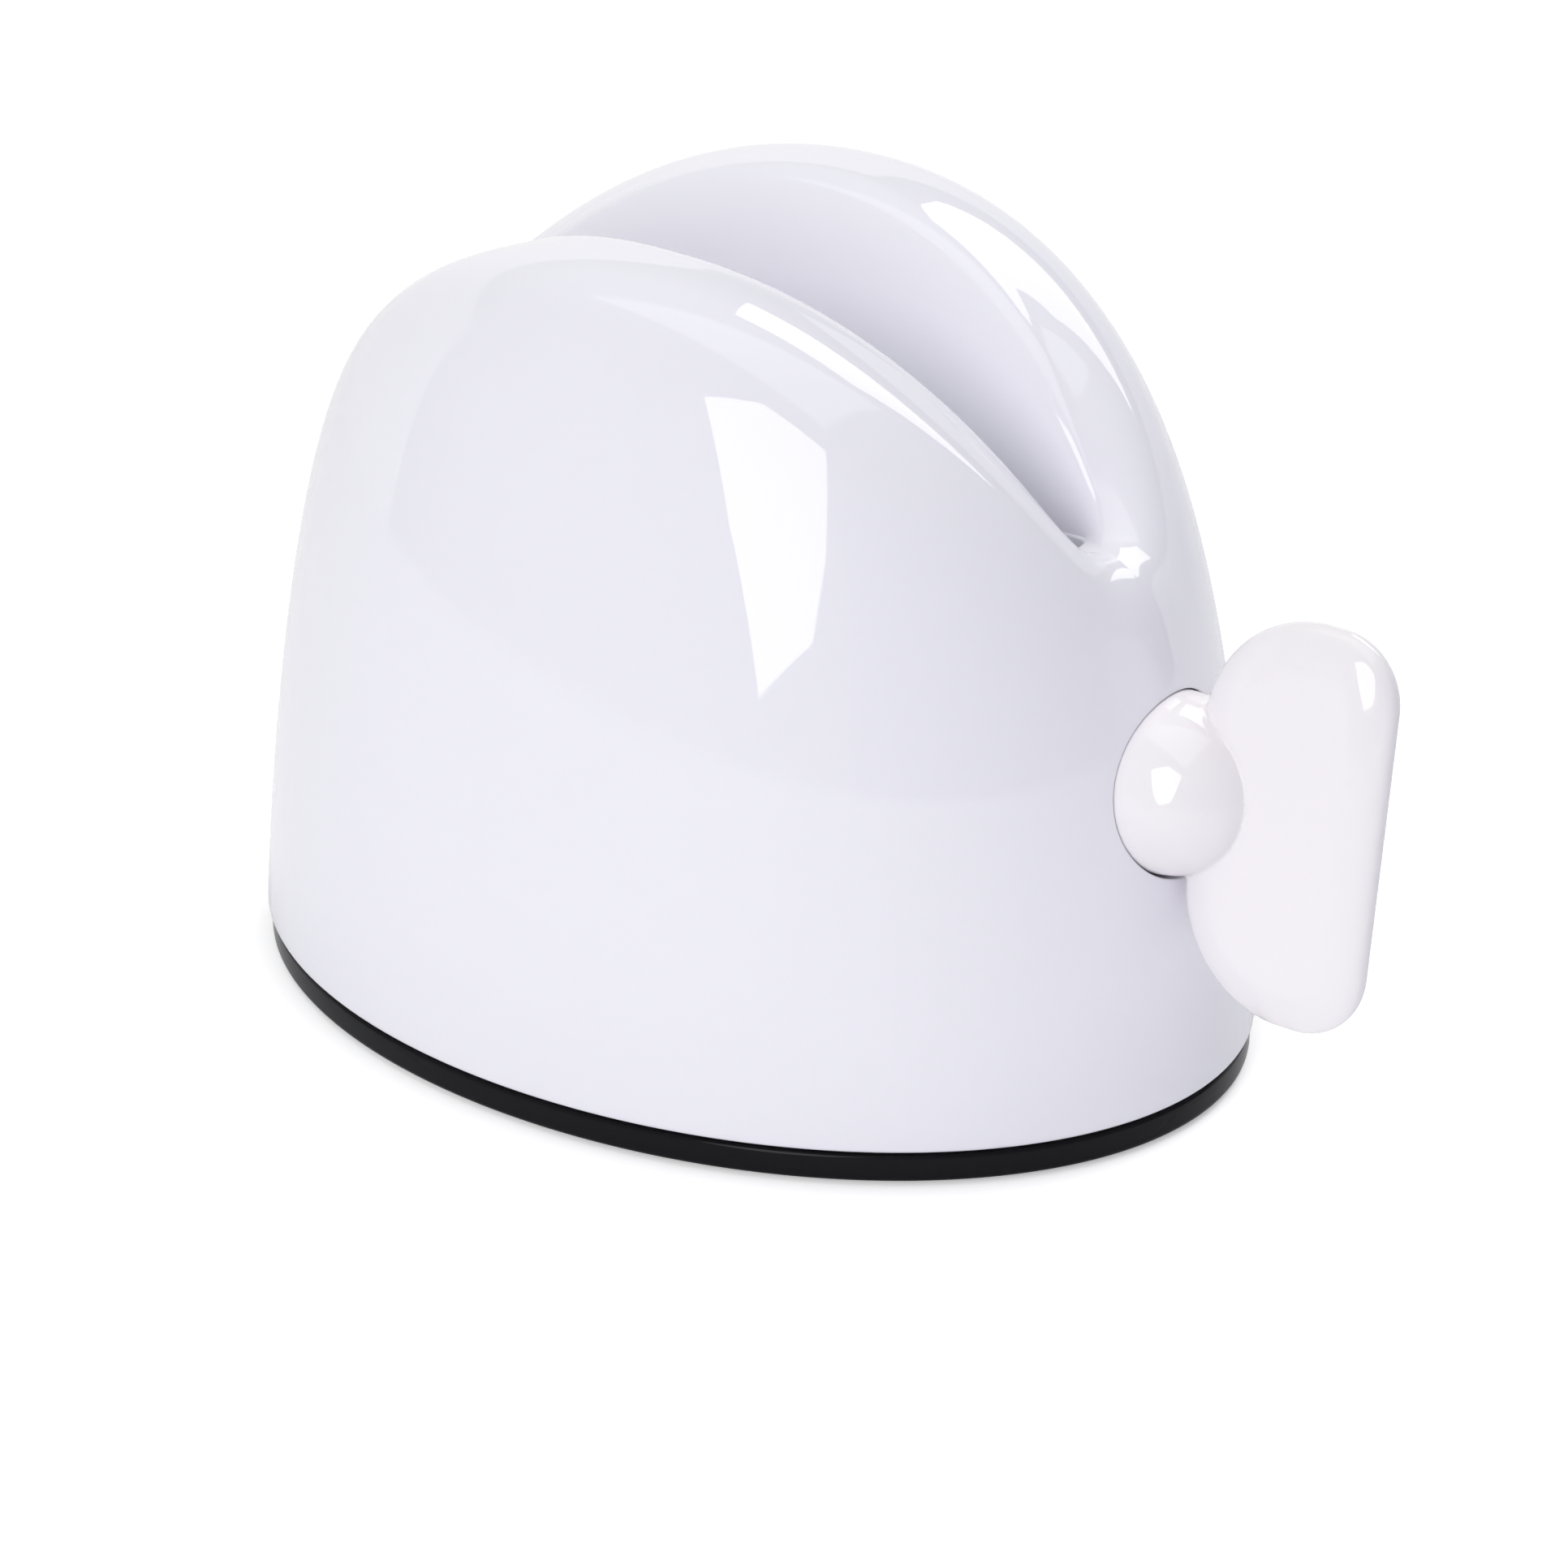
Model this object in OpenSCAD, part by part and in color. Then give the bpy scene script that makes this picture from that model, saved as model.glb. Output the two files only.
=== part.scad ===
// Wind-up squeezer for toothpaste tubes. A domed shell has a long slot between two crests,
// a split winding rod turns below the slot, and a key in the end wall turns the rod. The end
// of the tube goes down through the slot into the split, and the key winds it up.
// Millimetres, +Z up, +X along the winding axis towards the key. The origin is the middle
// of the underside.

/* [Shell] */
// Length of the shell at its foot, along the winding axis
shell_l = 78; // [70:0.2:94]
// Width of the shell at its foot
shell_w = 57.6; // [48:0.4:70]
// Height of the two crests above the table
shell_h = 59.5; // [54:0.1:72]
// Thickness of the shell wall
wall = 2.4; // [1.8:0.1:3]
// How far each lip stands back from the end of the foot
lip_inset = 9.4; // [7:0.2:11]
// Height of the lips, where the two crests run together
lip_z = 41; // [40:0.5:45]
// How far below the lip the crest lines aim
lip_dip = 2.8; // [0:0.1:4]
// Size of the blend where the crest lines run into the lip
lip_blend = 1.9; // [0.4:0.1:4]
// Distance between the two crest lines at mid length
crest_gap = 21; // [18:0.5:25]
// Exponent of the crest line in plan, 2 being an ellipse
crest_plan_e = 1.6; // [1.5:0.05:2.2]
// Exponent of the crest line along its length, seen from the side
crest_side_e = 2.07; // [1.9:0.01:2.6]
// Exponent of the crest line in height, seen from the side
crest_rise_e = 1.48; // [1:0.01:1.7]
// Exponent of the flank's turn inwards, higher for a tighter shoulder
flank_in_e = 3.19; // [2.4:0.01:3.6]
// Exponent of the flank's rise, higher for a fuller shoulder
flank_up_e = 1.27; // [1.1:0.01:1.6]
// Chamfer round the foot of the shell
foot_round = 0.25; // [0.1:0.05:0.5]

/* [Slot] */
// Flat width of each lip between its outer roll and the end of the slot
lip_top = 1.9; // [1.5:0.1:4]
// Drop from the lip to the end of the slot
lip_drop = 0.1; // [0:0.05:0.5]
// How much higher the edge of the slot is at mid length than at its ends, or lower below 0
slot_rise = -1; // [-1.5:0.5:4]
// Exponent of that rise, higher for a longer level edge
slot_rise_e = 8; // [4:1:12]
// Width of the slot
slot_w = 4.4; // [3:0.2:8]
// Height of the straight throat below the ends of the slot
throat_h = 3.5; // [2:0.5:4]
// Exponent of the slot's outline, higher for squarer ends
slot_e = 5; // [3:0.5:6]
// Exponent of the funnel's roll over the crest
funnel_in_e = 2.33; // [2:0.01:3]
// Exponent of the funnel's fall into the slot
funnel_down_e = 1.24; // [1:0.01:1.6]

/* [Winding gear] */
// Height of the winding axis above the table
axis_z = 25.8; // [24:0.2:26.4]
// Diameter of the hole for the key in the end wall
hub_hole_d = 13.1; // [10.8:0.1:15.8]
// Gap round the key's journal in that hole
journal_gap = 0.06; // [0.03:0.01:0.1]
// Length of journal left inside the clip's groove
journal_tail = 1; // [0.8:0.1:1.4]
// Wall of the bearing sleeve behind the hole
sleeve_wall = 2.2; // [1.6:0.2:2.6]
// Distance from the outside of the end wall to the inner face of the sleeve
sleeve_depth = 6.2; // [5.8:0.2:7]
// Diameter of the winding rod
rod_d = 9.2; // [7.6:0.1:11.2]
// Width of the split in the rod
split_w = 2.2; // [1.4:0.2:3]
// Distance from the end of the shell's slot to the end of the split
split_inset = 0.9; // [0.7:0.1:3]
// Least length of whole rod beyond the split
rod_tail = 1; // [0.8:0.1:2]
// Radius of the grip ridges along the split
ridge_r = 0.4; // [0.2:0.05:0.6]
// Diameter of the rod's far pivot
pivot_d = 6; // [4:0.2:7]
// Gap round the far pivot in its blind bearing
pivot_gap = 0.05; // [0.03:0.01:0.1]
// Length of the far pivot
pivot_l = 3.8; // [3:0.2:4]
// Wall round the blind bearing
pivot_wall = 2.3; // [1.6:0.1:3]
// Play between a turning face and the fixed face beside it
end_play = 0.3; // [0.2:0.05:0.5]
// Diameter of the rod's plug in the key
plug_d = 7.4; // [6:0.2:7.4]
// Height of the flat cut off the plug
plug_flat = 1.1; // [0.8:0.1:1.6]
// Length of the plug
plug_l = 6; // [5:0.2:6.4]
// Gap round the plug in its socket
plug_gap = 0.05; // [0.03:0.01:0.1]
// Diameter of the pin through the journal and the plug
pin_d = 1.5; // [1:0.1:2]
// Journal between the sleeve's inner face and the pin
pin_wall = 0.6; // [0.4:0.1:0.8]
// How far the pin's ends sit below the skin of the journal
pin_sunk = 0.2; // [0.1:0.05:0.5]

/* [Key] */
// Turn of the key and the rod from upright, as the key was left
key_tilt = 9.2; // [-90:0.1:90]
// Height of the wing from tip to tip
wing_h = 28.8; // [22:0.2:32]
// Distance from the outside of the end wall to the outer edge of the wing
wing_reach = 16.2; // [14:0.1:20]
// Distance from the outside of the end wall to the inner edge of the wing
wing_gap = 1.2; // [1:0.1:3]
// Radius of the wing's two inner corners
wing_inner_r = 9.5; // [7:0.1:11]
// Radius of the wing's two outer corners
wing_outer_r = 3.8; // [3:0.1:6]
// Thickness of the wing
wing_t = 3.6; // [3:0.1:4.6]
// Radius rolled round the wing's edge
wing_edge_r = 1.7; // [1:0.05:1.75]
// Rise of the bead that fills the hole
bead_h = 7.6; // [4:0.1:9]
// How far the foot of the bead sits inside the end wall
bead_sink = 1.1; // [0.6:0.1:1.6]
// Gap round the foot of the bead in the hole
bead_gap = 0.2; // [0.1:0.05:0.4]

/* [Seal and clip] */
// Thickness of the friction ring
ring_t = 1; // [0.8:0.1:1.2]
// Gap between the friction ring and the hole
ring_gap = 0.04; // [0.02:0.01:0.1]
// Journal between the pin and the ring's groove
ring_wall = 0.7; // [0.5:0.1:0.8]
// Journal between the ring's groove and the bead
ring_land = 0.3; // [0.2:0.05:0.4]
// Thickness of the retaining clip
clip_t = 0.8; // [0.6:0.1:1]
// How deep the clip reaches into the journal
clip_bite = 1.2; // [0.8:0.1:1.4]
// How far the clip stands out from the journal
clip_rim = 1.5; // [1:0.1:1.8]
// How far each end of the clip hooks round the journal
clip_hook = 0.85; // [0.4:0.05:1.2]
// Small gap round the clip and the ring in their grooves
groove_gap = 0.1; // [0.05:0.01:0.15]

/* [Base] */
// How far the grip pad stands below the base plate
pad_proud = 0.3; // [0.2:0.1:1]
// Thickness of the grip pad
pad_t = 1; // [0.8:0.1:1.4]
// Border of the base plate round the grip pad
pad_border = 2.4; // [1.5:0.1:5]
// Gap round the grip pad in its recess
pad_gap = 0.15; // [0.1:0.05:0.4]
// Height of the base plate's edge
plate_h = 2.1; // [2:0.1:3]
// How far the base plate's edge stands back from the shell
plate_inset = 0.3; // [0.2:0.1:1]
// Radius round the lower edge of the base plate
plate_low_r = 0.5; // [0.2:0.1:0.8]
// Radius round the upper edge of the base plate
plate_top_r = 0.3; // [0.1:0.1:0.6]
// Shadow gap between the base plate and the shell
shadow_gap = 0.28; // [0.1:0.02:0.4]
// Height of the rim that centres the shell on the plate
rim_h = 1.7; // [1:0.1:1.8]
// Thickness of that rim
rim_t = 1.5; // [1:0.1:2]
// Gap between that rim and the shell
rim_gap = 0.25; // [0.15:0.05:0.4]

/* [Screws] */
// Place of the screws round the foot, in degrees from the winding axis
screw_a = 42; // [35:1:55]
// Diameter of the screws
screw_d = 2.6; // [2.2:0.1:3]
// Length of the screws below the head
screw_l = 8; // [6:0.5:10]
// Diameter of the screw heads
screw_head_d = 5; // [4.1:0.1:6]
// Height of the screw heads
screw_head_h = 1.5; // [1.2:0.1:1.8]
// Length of each arm pair of the cross recess
cross_l = 2.8; // [2:0.1:3.4]
// Width of the cross recess
cross_t = 0.8; // [0.5:0.1:1]
// Depth of the cross recess
cross_deep = 0.8; // [0.5:0.1:1]
// Gap between the screw heads and the pad
head_gap = 0.4; // [0.2:0.1:0.8]
// Gap round a screw in its hole
screw_gap = 0.1; // [0.05:0.05:0.2]
// Spare depth of a post's hole past the tip of the screw
tip_gap = 0.5; // [0.3:0.1:1]
// Wall of the cups and posts round the screws
screw_wall = 1.4; // [1.1:0.1:1.8]
// Height of the shell's screw posts
post_h = 8.6; // [7:0.1:11]
// Thickness of the web from a post to the wall
web_t = 1.6; // [1.2:0.1:2.2]
// How far the web starts above the foot of the post
web_lift = 0.6; // [0.4:0.1:1]

/* [Hidden] */
$fn = 72;

WHITE = [0.93, 0.92, 0.96];
KEY_WHITE = [0.95, 0.93, 0.95];
BLACK = [0.04, 0.04, 0.05];
STEEL = [0.72, 0.73, 0.75];

ROUND_STEPS = 72;
FLANK_STEPS = 12;
FUNNEL_STEPS = 8;
CAVITY_STEPS = 8;
ARC_STEP = 15;
WING_CORE = 0.2;
WING_LAND = 0.05;
EPS = 0.01;
CUT = 1;

// Heights of the base and of the shell's foot
plate_z = pad_proud;
plate_top = plate_z + plate_h;
foot_z = plate_top + shadow_gap;
recess_z = pad_t;
cup_seat_z = recess_z + screw_head_h + head_gap;
cup_top = cup_seat_z + screw_wall;

// Lips and slot
lip_x = shell_l / 2 - lip_inset;
lip_end_z = lip_z + (sqrt(lip_dip * lip_dip + lip_blend * lip_blend) - lip_dip) / 2;
slot_x = lip_x - lip_top;
slot_z = lip_end_z - lip_drop;
throat_z = slot_z - throat_h;
cavity_lip = 0.6;

// The end wall at the height of the axis: outer face, and the bearings behind it
flank_z = foot_z + foot_round;
axis_t = asin(pow((axis_z - flank_z) / (lip_end_z - flank_z), flank_up_e / 2));
end_x = shell_l / 2 - lip_inset * (1 - pow(cos(axis_t), 2 / flank_in_e));
sleeve_x = end_x - sleeve_depth;
sleeve_r = hub_hole_d / 2 + sleeve_wall;
journal_r = hub_hole_d / 2 - journal_gap;
pivot_r = pivot_d / 2;
pivot_bore_r = pivot_r + pivot_gap;
pivot_boss_r = pivot_bore_r + pivot_wall;

// Places along the journal, from its inner end to the foot of the bead
clip_x = sleeve_x - end_play - clip_t;
journal_x = clip_x - groove_gap - journal_tail;
pin_x = sleeve_x + pin_d / 2 + pin_wall;
ring_w = ring_t + 2 * groove_gap;
ring_x = pin_x + pin_d / 2 + ring_wall + ring_w / 2;
journal_end_x = ring_x + ring_w / 2 + ring_land;
bead_x = end_x - bead_sink;
bead_r = hub_hole_d / 2 - bead_gap;
ring_r = hub_hole_d / 2 - ring_gap - ring_t / 2;
ring_floor_r = ring_r - ring_t / 2 - groove_gap / 2;
clip_in_r = journal_r - clip_bite;
clip_out_r = journal_r + clip_rim;
pin_l = 2 * (journal_r - pin_sunk);

// The rod, its shoulders and its split
rod_in_x = journal_x;
rod_far_x = -sleeve_x;
pivot_face_x = rod_far_x - end_play;
split_x = min(slot_x - split_inset, rod_in_x - rod_tail);

// The wing's corner centres, from the axis, and the roll round its edge
wing_out_x = end_x + wing_reach;
wing_in_x = end_x + wing_gap;
wing_roll = min(wing_edge_r, wing_t / 2 - WING_LAND);

// Screws stand clear of the wall by the cup's own radius
cup_r = screw_head_d / 2 + screw_gap + screw_wall;
screw_inset = wall + rim_gap + cup_r;
post_r = screw_d / 2 + screw_gap + screw_wall;
screw_tip_z = cup_seat_z + screw_l;

function signed_pow(v, e) = sign(v) * pow(abs(v), e);

// A point of the foot's oval, inset from the shell's own foot, and the whole oval
function on_oval(inset, a) =
    [(shell_l / 2 - inset) * cos(a), (shell_w / 2 - inset) * sin(a)];
function oval(inset) = [for (i = [0 : ROUND_STEPS - 1]) on_oval(inset, 360 * i / ROUND_STEPS)];

// A skin of the shell: how far its foot is inset, how far its lips are moved out, how far
// its crests drop, how much wider its slot is, the height where it ends at the slot's ends,
// and how much higher it ends at mid length
OUTER = [0, 0, 0, 0, slot_z, slot_rise];
CAVITY = [wall, cavity_lip, wall, wall, throat_z, 0];
MIDWALL = [wall / 2, cavity_lip / 2, wall / 2, wall / 2, throat_z, 0];

// Height of the crest line at a share u of its length from the middle: it runs down to a
// point below the lip, and a blend of hyperbola form lifts it onto the lip
function crest_height(u) = let (rise = shell_h - lip_z,
    top = rise - lip_blend * lip_blend / (4 * rise),
    d = (top + lip_dip) * pow(max(0, 1 - pow(abs(u), crest_side_e)), 1 / crest_rise_e) - lip_dip)
    lip_z + (d + sqrt(d * d + lip_blend * lip_blend)) / 2;

// Share of the length at the angle a round the crest line
function crest_share(a) = signed_pow(cos(a), 2 / crest_plan_e);

function crest(s, a) = let (u = crest_share(a))
    [(lip_x + s[1]) * u, crest_gap / 2 * signed_pow(sin(a), 2 / crest_plan_e),
    crest_height(u) - s[2]];

// The slot's outline at the angle a, at the height z
function slot_at(s, a, z) = let (u = crest_share(a))
    [(slot_x + s[3]) * u,
    (slot_w / 2 + s[3]) * sign(sin(a)) * pow(max(0, 1 - pow(abs(u), slot_e)), 1 / slot_e), z];

function slot_edge(s, a) =
    slot_at(s, a, s[4] + s[5] * (1 - pow(abs(crest_share(a)), slot_rise_e)));

// From the foot, t = 0, up the flank to the crest, t = 90
function flank(s, a, t) = let (c = crest(s, a), b = on_oval(s[0], a),
    f = 1 - pow(cos(t), 2 / flank_in_e), g = pow(sin(t), 2 / flank_up_e))
    [b.x + (c.x - b.x) * f, b.y + (c.y - b.y) * f, flank_z + (c.z - flank_z) * g];

// From the crest, t = 0, down the funnel to the edge of the slot, t = 90
function funnel(s, a, t) = let (c = crest(s, a), e = slot_edge(s, a),
    f = pow(sin(t), 2 / funnel_in_e), g = 1 - pow(cos(t), 2 / funnel_down_e))
    [c.x + (e.x - c.x) * f, c.y + (e.y - c.y) * f, c.z + (e.z - c.z) * g];

// Steps that crowd towards the crest, where the skin turns quickest
function flank_t(k, n) = 90 * (1 - pow(1 - k / n, 1.6));
function funnel_t(k, n) = 90 * pow(k / n, 1.4);

function flank_points(s, a, n) = [for (k = [0 : n]) flank(s, a, flank_t(k, n))];
function funnel_points(s, a, n) = [for (k = [1 : n]) funnel(s, a, funnel_t(k, n))];

function reversed(p) = [for (i = [len(p) - 1 : -1 : 0]) p[i]];
function foot_point(inset, a) = concat(on_oval(inset, a), [foot_z]);

// One closed section of the shell wall at the angle a
function wall_section(a) = concat(
    [foot_point(foot_round, a)],
    flank_points(OUTER, a, FLANK_STEPS),
    funnel_points(OUTER, a, FUNNEL_STEPS),
    [slot_at(OUTER, a, throat_z)],
    reversed(concat([foot_point(CAVITY[0], a)], flank_points(CAVITY, a, CAVITY_STEPS),
        funnel_points(CAVITY, a, FUNNEL_STEPS))));

// The wall: its sections joined right round the shell
module shell_wall() {
    sections = [for (i = [0 : ROUND_STEPS - 1]) wall_section(360 * i / ROUND_STEPS)];
    m = len(sections[0]);
    polyhedron([for (s = sections) each s], [for (i = [0 : ROUND_STEPS - 1], j = [0 : m - 1])
        let (i2 = (i + 1) % ROUND_STEPS, j2 = (j + 1) % m)
        each [[i * m + j, i * m + j2, i2 * m + j2], [i * m + j, i2 * m + j2, i2 * m + j]]]);
}

// A closed body of rows of points, each row running up the skin at the next angle round
module turned_body(rows) {
    m = len(rows[0]);
    bottom = len(rows) * m;
    polyhedron(concat([for (r = rows) each r],
        [[0, 0, rows[0][0].z], [0, 0, rows[0][m - 1].z]]),
        [for (i = [0 : len(rows) - 1]) let (i2 = (i + 1) % len(rows)) each concat(
        [for (j = [0 : m - 2]) each [[i * m + j, i * m + j + 1, i2 * m + j + 1],
            [i * m + j, i2 * m + j + 1, i2 * m + j]]],
        [[bottom, i * m, i2 * m], [bottom + 1, i2 * m + m - 1, i * m + m - 1]])]);
}

// The body with no groove, up to a skin inside the wall, which trims what meets the wall
module core_body(s) {
    turned_body([for (i = [0 : ROUND_STEPS - 1]) let (a = 360 * i / ROUND_STEPS)
        concat([foot_point(s[0], a)], flank_points(s, a, FLANK_STEPS))]);
}

// An oval slab with both edges rounded
module round_slab(inset, z0, z1, low_r, top_r) {
    edge = concat(
        [for (t = [0 : 30 : 90]) [inset + low_r * (1 - sin(t)), z0 + low_r * (1 - cos(t))]],
        [for (t = [0 : 45 : 90]) [inset + top_r * (1 - cos(t)), z1 - top_r * (1 - sin(t))]]);
    turned_body([for (i = [0 : ROUND_STEPS - 1])
        [for (p = edge) concat(on_oval(p[0], 360 * i / ROUND_STEPS), [p[1]])]]);
}

// A solid rod along the winding axis between two places on it
module axis_rod(r, x0, x1) {
    translate([x0, 0, axis_z]) rotate([0, 90, 0]) cylinder(r = r, h = x1 - x0);
}

// A ring about the winding axis
module axis_ring(r_in, r_out, x0, x1) {
    difference() {
        axis_rod(r_out, x0, x1);
        axis_rod(r_in, x0 - EPS, x1 + EPS);
    }
}

// Turns the key and all that it carries to the way it was left
module as_left() {
    translate([0, 0, axis_z]) rotate([-key_tilt, 0, 0]) translate([0, 0, -axis_z])
        children();
}

// Each screw's place, with its own outward direction
module at_screws() {
    for (a = [screw_a, 180 - screw_a, 180 + screw_a, 360 - screw_a]) {
        p = on_oval(screw_inset, a);
        out = atan2(sin(a) * shell_l, cos(a) * shell_w);
        translate([p.x, p.y, 0]) rotate([0, 0, out]) children();
    }
}

// A screw post with the web that ties it to the wall
module screw_post() {
    translate([0, 0, cup_top]) cylinder(r = post_r, h = post_h);
    translate([0, -web_t / 2, cup_top + web_lift])
        cube([screw_inset, web_t, post_h - web_lift]);
}

// White shell: wall, bearing sleeve, blind bearing and screw posts in one moulding
module body_shell() {
    color(WHITE) difference() {
        union() {
            shell_wall();
            intersection() {
                union() {
                    axis_rod(sleeve_r, sleeve_x, end_x + wall);
                    axis_rod(pivot_boss_r, -end_x - wall, pivot_face_x);
                    at_screws() screw_post();
                }
                core_body(MIDWALL);
            }
        }
        axis_rod(hub_hole_d / 2, sleeve_x - EPS, shell_l);
        axis_rod(pivot_bore_r, pivot_face_x - pivot_l - end_play, pivot_face_x + EPS);
        at_screws() translate([0, 0, cup_top - EPS])
            cylinder(r = screw_d / 2 + screw_gap / 2, h = screw_tip_z + tip_gap - cup_top);
    }
}

// Black plate that closes the underside, with a rim inside the wall and four screw cups
module base_plate() {
    color(BLACK) difference() {
        union() {
            round_slab(plate_inset, plate_z, plate_top, plate_low_r, plate_top_r);
            translate([0, 0, plate_top - EPS]) linear_extrude(rim_h + EPS) difference() {
                polygon(oval(wall + rim_gap));
                polygon(oval(wall + rim_gap + rim_t));
            }
            at_screws() translate([0, 0, plate_z + plate_h / 2])
                cylinder(r = cup_r, h = cup_top - plate_z - plate_h / 2);
        }
        translate([0, 0, plate_z - EPS]) linear_extrude(recess_z - plate_z + EPS)
            polygon(oval(plate_inset + pad_border));
        at_screws() {
            translate([0, 0, plate_z]) cylinder(r = screw_head_d / 2 + screw_gap,
                h = cup_seat_z - plate_z);
            translate([0, 0, plate_z]) cylinder(r = screw_d / 2 + screw_gap, h = cup_top);
        }
    }
}

// Soft pad let into the underside, which the whole thing stands on
module grip_pad() {
    color(BLACK) linear_extrude(pad_t) polygon(oval(plate_inset + pad_border + pad_gap));
}

// One pan-head screw, head down, with a cross recess
module screw() {
    point_h = screw_d / 2;
    point_r = screw_d / 8;
    difference() {
        union() {
            translate([0, 0, cup_seat_z - screw_head_h])
                cylinder(r = screw_head_d / 2, h = screw_head_h);
            translate([0, 0, cup_seat_z - EPS])
                cylinder(r = screw_d / 2, h = screw_l - point_h + EPS);
            translate([0, 0, screw_tip_z - point_h])
                cylinder(r1 = screw_d / 2, r2 = point_r, h = point_h);
        }
        for (a = [0, 90]) rotate([0, 0, a])
            translate([-cross_l / 2, -cross_t / 2, cup_seat_z - screw_head_h - EPS])
                cube([cross_l, cross_t, cross_deep + EPS]);
    }
}

module base_screws() {
    color(STEEL) at_screws() screw();
}

// A small disc with its edge rolled, lying in the plane of the wing
module wing_disc(x, z) {
    flat = wing_t / 2 - wing_roll;
    arc = [for (a = [0 : ARC_STEP : 90])
        [WING_CORE + wing_roll * cos(a), flat + wing_roll * sin(a)]];
    translate([x, 0, axis_z + z]) rotate([90, 0, 0]) rotate_extrude($fn = 48)
        polygon(concat([[0, -wing_t / 2]], [for (p = reversed(arc)) [p.x, -p.y]], arc,
            [[0, wing_t / 2]]));
}

// One rounded corner of the wing: discs along a quarter turn that starts at the angle a0
module wing_corner(x, z, r, a0) {
    reach = r - WING_CORE - wing_roll;
    for (a = [a0 : ARC_STEP : a0 + 90]) wing_disc(x + reach * cos(a), z + reach * sin(a));
}

// The wing: straight outer side, two wide inner corners and two small outer ones
module wing() {
    in_x = wing_in_x + wing_inner_r;
    in_z = wing_h / 2 - wing_inner_r;
    out_x = wing_out_x - wing_outer_r;
    out_z = wing_h / 2 - wing_outer_r;
    hull() {
        wing_corner(in_x, in_z, wing_inner_r, 90);
        wing_corner(in_x, -in_z, wing_inner_r, 180);
        wing_corner(out_x, -out_z, wing_outer_r, 270);
        wing_corner(out_x, out_z, wing_outer_r, 0);
    }
}

// The domed bead that fills the hole in the end wall
module bead() {
    dome = [for (a = [0 : 10 : 90]) [bead_r * cos(a), bead_h * sin(a)]];
    root = journal_end_x - EPS - bead_x;
    translate([bead_x, 0, axis_z]) rotate([0, 90, 0]) rotate_extrude()
        polygon(concat([[0, root], [bead_r, root]], dome));
}

// The rod's plug, a round bar with one flat; a grown copy of it is the key's socket
module plug(grow, x0, x1) {
    intersection() {
        axis_rod(plug_d / 2 + grow, x0, x1);
        translate([x0, -plug_d, axis_z - plug_d])
            cube([x1 - x0, 2 * plug_d, plug_d + plug_d / 2 - plug_flat + grow]);
    }
}

// The hole for the pin, or the pin itself, across the journal
module cross_pin(r, l) {
    translate([pin_x, l / 2, axis_z]) rotate([90, 0, 0]) cylinder(r = r, h = l, $fn = 32);
}

// White key: wing, bead and journal in one moulding
module winding_key() {
    color(KEY_WHITE) as_left() difference() {
        union() {
            axis_rod(journal_r, journal_x, journal_end_x);
            bead();
            wing();
        }
        axis_ring(clip_in_r - groove_gap, journal_r + CUT, clip_x - groove_gap,
            clip_x + clip_t + groove_gap);
        axis_ring(ring_floor_r, journal_r + CUT, ring_x - ring_w / 2, ring_x + ring_w / 2);
        plug(plug_gap, journal_x - EPS, journal_x + plug_l + plug_gap);
        cross_pin(pin_d / 2 + plug_gap, 2 * journal_r + CUT);
    }
}

// The split with its two round ends, less the ridges that grip the tube: two on one side
// and one between them on the other
module rod_split() {
    round_x = split_x - split_w / 2;
    ridge_z = rod_d / 4;
    difference() {
        union() {
            translate([-round_x, -split_w / 2, axis_z - rod_d])
                cube([2 * round_x, split_w, 2 * rod_d]);
            for (s = [-1, 1]) translate([s * round_x, 0, axis_z - rod_d])
                cylinder(r = split_w / 2, h = 2 * rod_d, $fn = 24);
        }
        for (r = [[1, -ridge_z], [1, ridge_z], [-1, 0]])
            translate([0, r[0] * split_w / 2, r[1]])
                axis_rod(ridge_r, -round_x + ridge_r, round_x - ridge_r);
    }
}

// Split rod that grips the end of the tube, with its plug and its far pivot
module winding_rod() {
    color(WHITE) as_left() difference() {
        union() {
            axis_rod(rod_d / 2, rod_far_x, rod_in_x);
            axis_rod(pivot_r, pivot_face_x - pivot_l, rod_far_x + EPS);
            plug(0, rod_in_x - EPS, rod_in_x + plug_l);
        }
        rod_split();
        cross_pin(pin_d / 2 + plug_gap, plug_d + CUT);
    }
}

// Steel pin that locks the rod in the key
module key_pin() {
    color(STEEL) as_left() cross_pin(pin_d / 2, pin_l);
}

// Horseshoe clip in the journal's inner groove, which keeps the key from pulling out
module retaining_clip() {
    mouth = 2 * (clip_in_r - clip_hook);
    color(STEEL) as_left() difference() {
        axis_ring(clip_in_r, clip_out_r, clip_x, clip_x + clip_t);
        translate([clip_x - EPS, -mouth / 2, axis_z - clip_out_r - CUT])
            cube([clip_t + 2 * EPS, mouth, clip_out_r + CUT]);
    }
}

// Soft ring that holds the key where it is turned to
module friction_ring() {
    color(BLACK) as_left() translate([ring_x, 0, axis_z]) rotate([0, 90, 0])
        rotate_extrude() translate([ring_r, 0]) circle(d = ring_t, $fn = 24);
}

body_shell();
base_plate();
grip_pad();
base_screws();
winding_key();
winding_rod();
key_pin();
retaining_clip();
friction_ring();
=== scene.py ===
"""Looks of the wind-up squeezer for toothpaste tubes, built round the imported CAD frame.

Sizes are in millimetres in the classes, as in the part's own source, and become metres where
a mesh is made. +X runs along the winding axis towards the key, +Z is up, and the origin is
the middle of the underside.
"""

import logging
import math
from dataclasses import dataclass, field, fields, replace
from enum import Enum
from typing import Any, Callable, Iterable, Sequence

import bmesh
import bpy
import numpy as np
from mathutils import Matrix, Vector


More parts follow.
